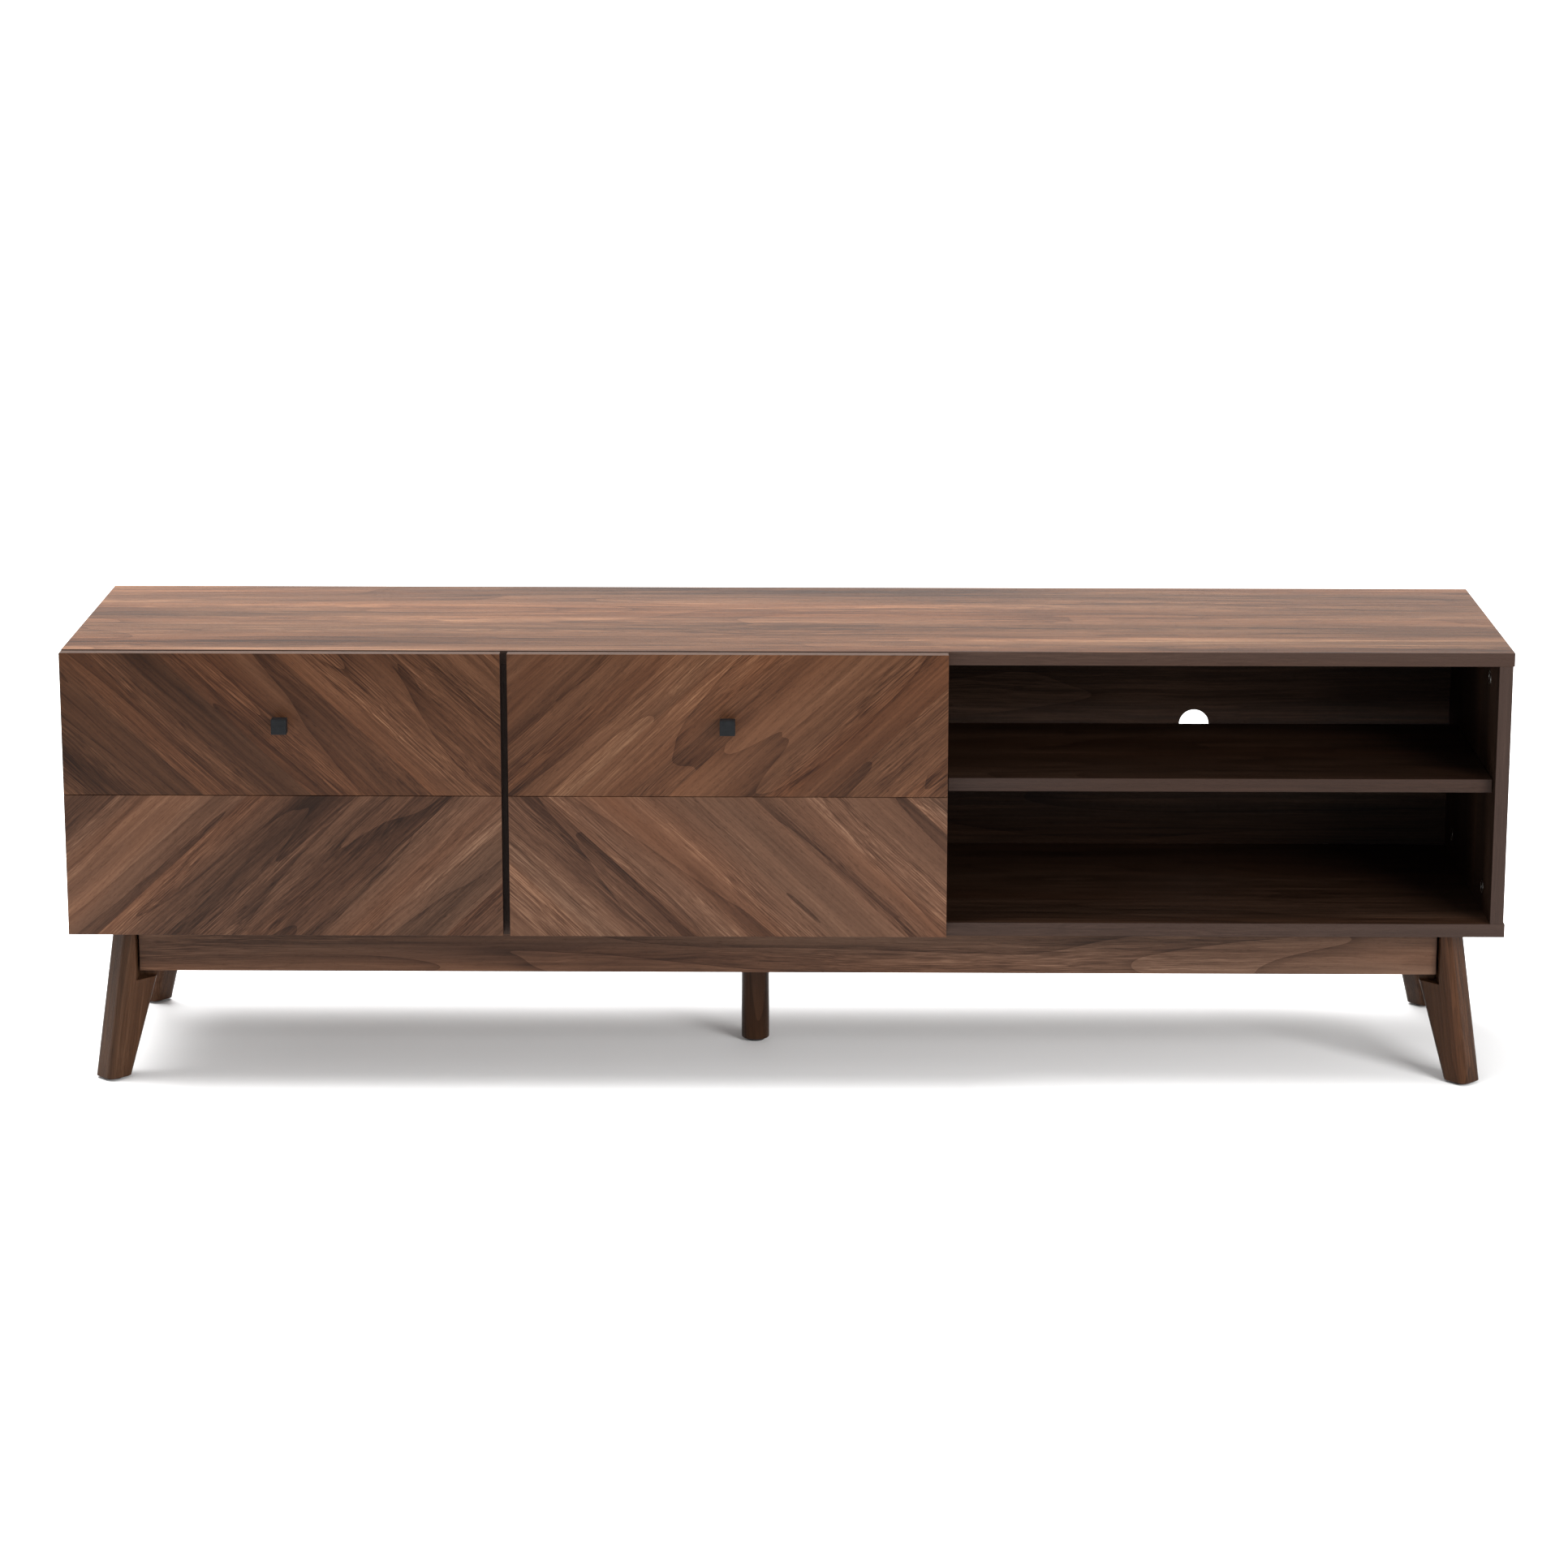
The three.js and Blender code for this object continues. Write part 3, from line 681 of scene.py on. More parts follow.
@dataclass(frozen=True)
class Walnut:
    """A walnut surface: broad tone, cathedral figure, streaks, pores and a satin lacquer.

    The level is its mean tone on the palette. The other fields say how strong each feature is, and
    relief is the depth of its pores in metres. A strip is the width of the sheets in a matched
    veneer, and 0 where the surface is one sheet.
    """

    palette: Palette
    level: float = 0.53
    broad: float = 0.9
    figure: float = 0.16
    streaks: float = 0.6
    fine: float = 1.3
    pores: float = 0.5
    rings: float = 7.0
    knots: float = 0.5
    roughness: float = 0.46
    gloss: float = 0.10
    relief: float = 0.00012
    strip: float = 0.0
    strip_tone: float = 0.16

    def tinted(self, red: float, green: float, blue: float, level: Optional[float] = None) -> "Walnut":
        """The same wood, tinted.

        Args:
            red: What its red is multiplied by.
            green: What its green is multiplied by.
            blue: What its blue is multiplied by.
            level: Another mean tone, if it takes one.

        Returns:
            The tinted wood.
        """
        tint = (red, green, blue)
        stops = tuple(
            (spot, tuple(part * gain for part, gain in zip(colour, tint)))
            for spot, colour in self.palette
        )
        return replace(self, palette=stops, level=self.level if level is None else level)

    def strips(self, graph: Graph, place: Socket, seed: float) -> tuple[Socket, Socket]:
        """Lays the veneer as strips that each come from another part of the log.

        Args:
            graph: The node tree.
            place: The coordinate, with the grain along its first axis.
            seed: A number that differs for each sheet of veneer.

        Returns:
            The coordinate on the log, and a random tone for each strip.
        """
        along, deep, across = graph.split(place)
        wander = graph.noise(graph.merge(0.0, seed, across), STRIP_SCALE, 0.0)
        uneven = graph.math("ADD", across, graph.swing(wander, self.strip * STRIP_WANDER))
        number = graph.math("FLOOR", graph.math("DIVIDE", uneven, self.strip))
        tone, draw = graph.dice(graph.math("ADD", number, seed))
        part, other, _ = graph.split(draw)
        far = graph.math("ADD", along, graph.math("MULTIPLY", part, LOG_LENGTH))
        beside = graph.math("ADD", across, graph.math("MULTIPLY", other, LOG_WIDTH))
        return graph.merge(far, deep, beside), tone

    @staticmethod
    def bent(graph: Graph, log: Socket) -> Socket:
        """Bends the fibres a little, as they grow round branches and buds.

        Args:
            graph: The node tree.
            log: The coordinate on the log.

        Returns:
            The coordinate, moved across the grain.
        """
        along, deep, across = graph.split(log)
        sway = graph.swing(graph.noise(log, SWAY_SCALE, 1.0), SWAY)
        ripple = graph.swing(graph.noise(log, RIPPLE_SCALE, 1.0), RIPPLE)
        bend = graph.math("ADD", sway, ripple)
        return graph.merge(along, graph.math("ADD", deep, bend), graph.math("ADD", across, bend))

    def material(
        self,
        name: str,
        grain: Union[Grain, Sequence[float]],
        seed: float,
    ) -> bpy.types.Material:
        """Builds the material.

        Args:
            name: The name of the material.
            grain: The turn that brings the grain onto the X axis.
            seed: A number that differs for each board, so that no two have the same figure.

        Returns:
            The material.
        """
        graph = Graph(name)
        turn = grain.value if isinstance(grain, Grain) else tuple(grain)
        shift = (seed * 1.37, seed * 0.71, seed * 2.13)
        log = graph.mapped(graph.place, turn=turn, shift=shift)
        tone: Value = 0.5
        if self.strip:
            log, tone = self.strips(graph, log, seed)
        log = self.bent(graph, log)
        broad = graph.noise(log, BROAD_SCALE, 2.0, 0.55, 0.3)
        contour = graph.noise(log, CONTOUR_SCALE, 1.0, 0.4, 0.4)
        ring = graph.math("FRACT", graph.math("MULTIPLY", contour, self.rings))
        rings = graph.math("POWER", ring, 2.5)
        rim = graph.math("POWER", ring, 16.0)
        streaks = graph.noise(log, STREAK_SCALE, 2.0, 0.6)
        combed = graph.noise(log, COMB_SCALE, 1.0)
        comb = graph.math("MULTIPLY", graph.math("SUBTRACT", combed, 0.36, clamp=True), 3.4, clamp=True)
        fine = graph.noise(log, FIBRE_SCALE, 2.0, 0.6)
        lines = graph.math("MULTIPLY", graph.swing(fine, self.fine), comb)
        pores = graph.noise(log, PORE_SCALE, 1.0, 0.5)
        pits = graph.math("MULTIPLY", graph.math("SUBTRACT", 0.42, pores, clamp=True), self.pores * 8)
        knot = graph.math("SUBTRACT", KNOT_RADIUS, graph.cells(log, KNOT_SCALE), clamp=True)
        shade = graph.total(
            self.level,
            graph.swing(broad, self.broad),
            graph.swing(rings, -self.figure, 0.28),
            graph.math("MULTIPLY", rim, -self.figure * 0.7),
            graph.swing(streaks, self.streaks),
            lines,
            graph.math("MULTIPLY", pits, -0.16),
            graph.math("MULTIPLY", knot, -self.knots * 6),
        )
        if self.strip:
            shade = graph.math("ADD", shade, graph.swing(tone, self.strip_tone))
        wood = graph.ramp(shade, self.palette)
        drift = graph.noise(log, DRIFT_SCALE, 2.0, 0.5, 0.2)
        cool = graph.math("MULTIPLY", graph.math("SUBTRACT", drift, 0.50, clamp=True), 2.8, clamp=True)
        warm = graph.math("MULTIPLY", graph.math("SUBTRACT", 0.48, drift, clamp=True), 3.2, clamp=True)
        wood = graph.mix(cool, wood, COOL, "MULTIPLY")
        wood = graph.mix(warm, wood, WARM, "MULTIPLY")
        rough = graph.total(self.roughness, graph.swing(fine, 0.25), graph.swing(streaks, 0.12))
        graph.set(Base_Color=wood, Specular_IOR_Level=self.gloss, Roughness=rough)
        graph.bump(graph.math("SUBTRACT", graph.swing(fine, 1.0, 0.0), pits), self.relief)
        return graph.material


FACE = Walnut(VENEER, broad=1.0, figure=0.09, streaks=0.55, level=0.55)
RAIL = replace(FACE, broad=1.3, figure=0.16).tinted(1.12, 1.28, 1.45)
CHEVRON = Walnut(
    VENEER,
    broad=1.05,
    figure=0.15,
    streaks=0.6,
    fine=1.6,
    pores=0.9,
    strip=0.085,
    strip_tone=0.2,
)
WARM_SHEET = (1.0, 0.94, 0.85)
COOL_SHEET = (1.0, 1.02, 1.05)
# Painted light: the top is tinted lighter than the other boards, for the light and sheen that fall on
# it from above.
TOP = Walnut(
    VENEER,
    broad=1.5,
    figure=0.12,
    streaks=1.1,
    fine=1.9,
    pores=0.9,
    knots=0.2,
    gloss=0.40,
    roughness=0.42,
).tinted(1.26, 1.24, 1.14)
BAND = Walnut(EDGE_BAND, broad=0.3, figure=0.0, streaks=0.4, fine=0.9, knots=0.0, roughness=0.5)
UPRIGHT_BAND = replace(BAND, level=0.44)
# Painted shade: the shelf's front band is set darker, for the shade under the top that it sits back in.
SHADED_SHELF_BAND = replace(BAND, level=0.33)
# Painted reflection: the flaps' top edges take a lighter band than their other edges, for the sheen of
# grazing light on them.
LIT_BAND = replace(TOP, broad=0.3, figure=0.0, streaks=0.4, knots=0.0).tinted(0.62, 0.60, 0.60)
# Painted shade: the inside faces of the boards, shelf, flap backs and back panels are made dark to
# stand for the shade inside the cabinet.
SHADED_INSIDE = Walnut(
    PAINTED_SHADE_VENEER,
    broad=1.1,
    streaks=1.1,
    fine=1.2,
    knots=0.2,
    roughness=0.55,
    gloss=0.12,
)
# Painted shade: the right side's inner face is set darker still, for the deeper shade that falls on it.
SHADED = replace(SHADED_INSIDE, level=0.30)
SOLID = Walnut(
    SOLID_WALNUT,
    broad=0.5,
    figure=0.12,
    streaks=0.6,
    fine=1.2,
    knots=0.0,
    roughness=0.40,
)


@dataclass(frozen=True)
class Hardboard:
    """Pressed fibre on the raw back of a back panel."""

    dark: Colour = (0.10, 0.058, 0.034)
    light: Colour = (0.19, 0.118, 0.074)

    def material(self, name: str) -> bpy.types.Material:
        """Builds the material.

        Args:
            name: The name of the material.

        Returns:
            The material.
        """
        graph = Graph(name)
        cloud = graph.noise(graph.place, (14.0, 14.0, 14.0), 3.0)
        fibre = graph.noise(graph.place, (240.0, 240.0, 240.0), 4.0, 0.7, 1.5)
        fleck = graph.cells(graph.place, (160.0, 160.0, 160.0))
        pulp = graph.total(graph.swing(fibre, 1.1), graph.swing(fleck, 0.25))
        shade = graph.total(0.45, graph.swing(cloud, 0.7), pulp)
        graph.set(Base_Color=graph.ramp(shade, ((0.0, self.dark), (1.0, self.light))))
        graph.set(Roughness=0.85, Specular_IOR_Level=0.2)
        graph.bump(fibre, 0.0002)
        return graph.material


@dataclass(frozen=True)
class Metal:
    """A metal surface with fine brushing, a mottled tone and scattered scuffs worn brighter."""

    colour: Colour
    worn: Colour
    metallic: float = 1.0
    roughness: float = 0.32
    gloss: float = 0.5
    brushing: tuple[float, float, float] = (60.0, 900.0, 900.0)

    def material(self, name: str) -> bpy.types.Material:
        """Builds the material.

        Args:
            name: The name of the material.

        Returns:
            The material.
        """
        graph = Graph(name)
        mottle = graph.noise(graph.place, (120.0, 120.0, 120.0), 3.0, 0.6)
        brush = graph.noise(graph.place, self.brushing, 2.0, 0.6)
        spots = graph.noise(graph.place, (420.0, 420.0, 420.0), 4.0, 0.7)
        scuff = graph.math("GREATER_THAN", spots, 0.66)
        blend = graph.total(0.45, graph.swing(mottle, 0.7), graph.swing(brush, 0.5))
        tint = graph.ramp(blend, ((0.0, self.colour), (1.0, self.worn)))
        tint = graph.mix(graph.math("MULTIPLY", scuff, 0.35), tint, self.worn)
        graph.set(Base_Color=tint, Metallic=self.metallic, Specular_IOR_Level=self.gloss)
        rough = graph.total(self.roughness, graph.swing(mottle, 0.12), graph.swing(brush, 0.2))
        graph.set(Roughness=rough)
        graph.bump(brush, 0.00003)
        return graph.material


GUNMETAL = Metal(
    colour=(0.0035, 0.0038, 0.0042),
    worn=(0.0165, 0.0175, 0.0190),
    metallic=0.2,
    roughness=0.45,
    gloss=0.07,
)
ZINC = Metal(colour=(0.42, 0.42, 0.40), worn=(0.66, 0.65, 0.62), roughness=0.3)


@dataclass(frozen=True)
class Plastic:
    """Moulded plastic with a fine spark texture and scuffs."""

    dark: Colour = (0.010, 0.010, 0.011)
    light: Colour = (0.030, 0.030, 0.031)

    def material(self, name: str) -> bpy.types.Material:
        """Builds the material.

        Args:
            name: The name of the material.

        Returns:
            The material.
        """
        graph = Graph(name)
        spark = graph.noise(graph.place, (1800.0, 1800.0, 1800.0), 2.0, 0.6)
        scuff = graph.noise(graph.place, (90.0, 90.0, 90.0), 5.0, 0.7, 0.6)
        shade = graph.total(0.2, graph.swing(scuff, 1.6), graph.swing(spark, 0.4))
        graph.set(Base_Color=graph.ramp(shade, ((0.0, self.dark), (1.0, self.light))))
        graph.set(Roughness=graph.total(0.55, graph.swing(scuff, 0.4)), Specular_IOR_Level=0.4)
        graph.bump(spark, 0.00004)
        return graph.material


class Stock:
    """The materials that several pieces share, each built once."""

    def __init__(self) -> None:
        """Builds the shared materials."""
        self.zinc = ZINC.material("zinc_plate")
        self.gunmetal = GUNMETAL.material("gunmetal_satin")
        self.plastic = Plastic().material("black_plastic")
        self.hardboard = Hardboard().material("raw_hardboard")
        self.band_x = BAND.material("edge_band_x", Grain.ALONG_X, 3.1)
        self.band_y = BAND.material("edge_band_y", Grain.ALONG_Y, 5.3)
        self.band_z = UPRIGHT_BAND.material("edge_band_z", Grain.ALONG_Z, 7.7)
        self.band_lit = LIT_BAND.material("edge_band_lit", Grain.ALONG_X, 8.3)
        self.band_painted_shade = SHADED_SHELF_BAND.material("edge_band_dark", Grain.ALONG_X, 9.1)


# ---------------------------------------------------------------- fittings that repeat


@dataclass
class Screw:
    """A countersunk or pan head with a cross recess, seen from its head. Only the head shows."""

    radius: float = 3.4 * MM
    height: float = 1.1 * MM
    sunk: float = 0.3 * MM
    recess: float = 2.1 * MM
    slot: float = 0.7 * MM
    crown: float = 0.55

    def model(self, stock: Stock) -> Piece:
        """Models one head at the origin, looking up.

        Args:
            stock: The shared materials.

        Returns:
            The model.
        """
        head = Bench.rod("screw_model", self.radius, DOWN * self.sunk, UP * self.height, 32)
        with Bench.faces(head, facing(UP)):
            bpy.ops.mesh.bevel(offset=self.height * self.crown, segments=4)
        for turn in (0.0, math.pi / 2):
            reach, half = self.recess, self.slot / 2
            arm = Bench.block(
                "recess_tool",
                Vector((-reach, -half, self.height * 0.25)),
                Vector((reach, half, self.height * 2)),
                (0.0, 0.0, turn),
            )
            Bench.cut(head, arm)
        Bench.ease(head, 0.08 * MM, 1, 50.0)
        return Bench.dress(head, stock.zinc)


class Screws:
    """Places copies of one screw head."""

    def __init__(self, stock: Stock, kind: Screw) -> None:
        """Models the head that is copied.

        Args:
            stock: The shared materials.
            kind: The screw.
        """
        self.pattern = kind.model(stock)

    def place(self, name: str, point: Vector, outward: Vector, body: str, turn: float = 0.3) -> Piece:
        """Sets one screw.

        Args:
            name: The name of the screw.
            point: Where its head meets the surface.
            outward: The way that its head looks.
            body: The body that it is driven into.
            turn: How far it was turned home, in radians.

        Returns:
            The screw.
        """
        aim = outward.to_track_quat("Z", "Y").to_matrix().to_4x4()
        place = Matrix.Translation(point) @ aim @ Matrix.Rotation(turn, 4, "Z")
        return fit(Bench.copy(self.pattern, name, place), body, "plated_steel")

    def put_away(self) -> None:
        """Removes the model once every copy is placed."""
        Bench.discard(self.pattern)


# ---------------------------------------------------------------- carcass


@dataclass
class Carcass:
    """The boards of the cabinet: top, bottom, two sides, two dividers and three back panels."""

    stock: Stock
    eased: float = 0.5 * MM
    band: float = 0.8 * MM
    slack: float = 0.25 * MM
    hole_radius: float = 17.5 * MM
    sheet_eased: float = 0.25 * MM

    def groove(self, back: str) -> Piece:
        """The tool for the groove that holds a back panel, a little larger than its rim.

        Args:
            back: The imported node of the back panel.

        Returns:
            The tool.
        """
        low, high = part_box(back)
        spare = Vector((self.slack, self.slack, self.slack))
        return Bench.block("groove_tool", low - spare, high + spare)

    def board(self, node: str, backs: Sequence[str]) -> Piece:
        """A board with its grooves, eased edges and a loop of edges behind its front band.

        Args:
            node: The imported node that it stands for.
            backs: The back panels that sit in its grooves.

        Returns:
            The board, not yet dressed.
        """
        low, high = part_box(node)
        board = Bench.block(f"{node}_board", low, high)
        for back in backs:
            Bench.cut(board, self.groove(back))
        Bench.ease(board, self.eased, 3)
        Bench.slice(board, low + BACK * self.band, FRONT)
        return board

    def flat_boards(self) -> None:
        """The top and the bottom, full width, with bands on their front and ends."""
        backs = ("back_panel_left", "back_panel_centre", "back_panel_right")
        for node, slot, outer, seed in (
            ("top_panel", "walnut_top", UP, 11.0),
            ("bottom_panel", "walnut_boards", DOWN, 23.0),
        ):
            board = self.board(node, backs)
            shown = TOP if outer is UP else FACE
            # Painted shade: every face starts in the dark inside veneer; the outer face and bands are
            # dressed over it.
            Bench.dress(board, SHADED_INSIDE.material(f"{node}_inside", Grain.ALONG_X, seed + 2))
            face = shown.material(f"{node}_face", Grain.ALONG_X, seed)
            Bench.dress(board, face, facing(outer, 0.3))
            self.dress_ends(board, node)
            fit(board, "cabinet", slot, node)

    def dress_ends(self, board: Piece, node: str) -> None:
        """Bands a flat board's front edge and its two ends.

        Args:
            board: The board.
            node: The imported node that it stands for.
        """
        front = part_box(node)[0].y + self.band
        Bench.dress(board, self.stock.band_y, at_ends)
        Bench.dress(board, self.stock.band_x, at_front_or_rear(front))

    def uprights(self) -> None:
        """The two sides and the two dividers, with the grain upright."""
        left, centre, right = "back_panel_left", "back_panel_centre", "back_panel_right"
        rows = (
            ("side_panel_left", "walnut_boards", (left,), LEFT, SHADED_INSIDE, 31.0),
            ("side_panel_right", "walnut_boards", (right,), RIGHT, SHADED, 37.0),
            ("divider_left", "walnut_inside", (left, centre), None, SHADED_INSIDE, 41.0),
            ("divider_right", "walnut_inside", (centre, right), None, SHADED_INSIDE, 43.0),
        )
        for node, slot, backs, outer, inner, seed in rows:
            board = self.board(node, backs)
            # Painted shade: the inner faces take the dark inside veneer, darker still on the right
            # side.
            Bench.dress(board, inner.material(f"{node}_inside", Grain.ALONG_Z, seed + 3))
            if outer is not None:
                face = FACE.material(f"{node}_face", Grain.ALONG_Z, seed)
                Bench.dress(board, face, facing(outer, 0.3))
            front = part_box(node)[0].y + self.band
            Bench.dress(board, self.stock.band_z, at_front_or_rear(front))
            fit(board, "cabinet", slot, node)

    def backs(self) -> None:
        """The three thin back panels with their cable holes, walnut inside and raw outside."""
        for index, bay in enumerate(("left", "centre", "right")):
            node = f"back_panel_{bay}"
            low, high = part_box(node)
            panel = Bench.block(f"{node}_sheet", low, high)
            middle = (low + high) / 2
            reach = high.y - low.y
            start, end = middle + FRONT * reach, middle + BACK * reach
            Bench.cut(panel, Bench.rod("hole_tool", self.hole_radius, start, end, 96))
            Bench.ease(panel, self.sheet_eased, 2)
            Bench.dress(panel, self.stock.hardboard)
            # Painted shade: the face towards the bays is dark, for the shade inside them.
            inside = SHADED_INSIDE.material(f"{node}_inside", Grain.ALONG_X, 51.0 + 4.0 * index)
            Bench.dress(panel, inside, facing(FRONT))
            fit(panel, "cabinet", "walnut_inside", node)

    def build(self) -> None:
        """Builds every board."""
        self.flat_boards()
        self.uprights()
        self.backs()


@dataclass
class Shelf:
    """The loose shelf of the open bay and the four pins that it lies on."""

    stock: Stock
    eased: float = 0.5 * MM
    band: float = 0.8 * MM
    collar_radius: float = 4.0 * MM
    collar: float = 0.8 * MM
    pin_eased: float = 0.25 * MM

    def board(self) -> None:
        """The shelf with a banded front edge."""
        low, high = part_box("shelf")
        board = Bench.block("shelf_board", low, high)
        Bench.ease(board, self.eased, 3)
        Bench.slice(board, low + BACK * self.band, FRONT)
        # Painted shade: the shelf is dark all over, for the shade in the bay.
        Bench.dress(board, SHADED_INSIDE.material("shelf_face", Grain.ALONG_X, 67.0))
        Bench.dress(board, self.stock.band_y, at_ends)
        # Painted shade: the shelf's front edge takes the darker band.
        Bench.dress(board, self.stock.band_painted_shade, at_front_or_rear(low.y + self.band))
        fit(board, "cabinet", "walnut_boards", "shelf")

    def pins(self) -> None:
        """Four steel pins, each with a collar against its board."""
        for end, inward in (("left", RIGHT), ("right", LEFT)):
            for row in ("front", "rear"):
                node = f"shelf_pin_{end}_{row}"
                low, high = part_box(node)
                middle = (low + high) / 2
                reach = inward * (high.x - low.x) / 2
                radius = (high.z - low.z) / 2
                pin = Bench.rod(f"{node}_steel", radius, middle - reach, middle + reach, 32)
                rim = middle + inward * self.collar
                Bench.join(pin, Bench.rod("collar", self.collar_radius, middle, rim, 32))
                Bench.ease(pin, self.pin_eased, 2)
                Bench.dress(pin, self.stock.zinc)
                fit(pin, "cabinet", "plated_steel", node)

    def build(self) -> None:
        """Builds the shelf and its pins."""
        self.board()
        self.pins()


@dataclass
class CamLocks:
    """Cam locks let into the inner faces of the uprights, each with a cross recess."""

    stock: Stock
    proud: float = 0.2 * MM
    rim: float = 1.1 * MM
    step: float = 0.3 * MM
    dish: float = 0.5 * MM
    recess_depth: float = 2.6 * MM
    recess_reach: float = 4.2 * MM
    recess_half: float = 0.8 * MM
    eased: float = 0.12 * MM
    locked: float = 0.5

    def model(self) -> Piece:
        """Models one lock at the origin, its face looking along +X.

        Returns:
            The lock model.
        """
        low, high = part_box("cam_lock_top_front")
        radius = (high.z - low.z) / 2
        depth = high.x - low.x
        lock = Bench.rod("cam_model", radius, LEFT * depth, RIGHT * self.proud, 48)
        with Bench.faces(lock, facing(RIGHT)):
            bpy.ops.mesh.inset(thickness=self.rim, depth=0.0)
            bpy.ops.mesh.inset(thickness=self.step, depth=-self.dish)
        for turn in (0.0, math.pi / 2):
            arm = Bench.block(
                "recess_tool",
                Vector((-self.recess_depth, -self.recess_reach, -self.recess_half)),
                Vector((self.recess_depth, self.recess_reach, self.recess_half)),
                (turn, 0.0, 0.0),
            )
            Bench.cut(lock, arm)
        Bench.ease(lock, self.eased, 2, 40.0)
        return Bench.dress(lock, self.stock.zinc)

    def build(self) -> None:
        """Sets the four locks of the open bay's side, and their like in the other uprights."""
        pattern = self.model()
        others = (
            ("side_left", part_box("side_panel_left")[1].x, 0.0),
            ("divider_left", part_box("divider_left")[0].x, math.pi),
            ("divider_right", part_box("divider_right")[0].x, math.pi),
        )
        for level in ("top", "bottom"):
            for row in ("front", "rear"):
                node = f"cam_lock_{level}_{row}"
                low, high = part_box(node)
                middle = (low + high) / 2
                spot = Vector((low.x, middle.y, middle.z))
                lock = self.lock(pattern, f"{node}_steel", spot, math.pi)
                fit(lock, "cabinet", "plated_steel", node)
                for name, face, turn in others:
                    spot = Vector((face, middle.y, middle.z))
                    lock = self.lock(pattern, f"cam_lock_{name}_{level}_{row}", spot, turn)
                    fit(lock, "cabinet", "plated_steel")
        Bench.discard(pattern)

    def lock(self, pattern: Piece, name: str, spot: Vector, turn: float) -> Piece:
        """Copies the lock to a spot on a face, turned to look away from its board.

        Args:
            pattern: The lock model.
            name: The name of the copy.
            spot: The middle of the lock on its board's face.
            turn: The turn about Z that brings +X to the way that it looks.

        Returns:
            The copy.
        """
        aim = Matrix.Rotation(turn, 4, "Z") @ Matrix.Rotation(self.locked, 4, "X")
        return Bench.copy(pattern, name, Matrix.Translation(spot) @ aim)


# ---------------------------------------------------------------- base


@dataclass
class BaseFrame:
    """The rails under the bottom panel."""

    stock: Stock
    eased: float = 0.6 * MM

    def build(self) -> None:
        """Builds the front and rear aprons, the side rails and the centre rail."""
        rows = (
            ("apron_front", Grain.ALONG_X, 71.0),
            ("apron_rear", Grain.ALONG_X, 73.0),
            ("side_rail_left", Grain.ALONG_Y, 79.0),
            ("side_rail_right", Grain.ALONG_Y, 83.0),
            ("centre_rail", Grain.ALONG_Y, 89.0),
        )
        for node, grain, seed in rows:
            low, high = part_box(node)
            rail = Bench.block(f"{node}_board", low, high)
            Bench.ease(rail, self.eased, 3)
            Bench.dress(rail, RAIL.material(f"{node}_face", grain, seed))
            fit(rail, "cabinet", "walnut_rails", node)


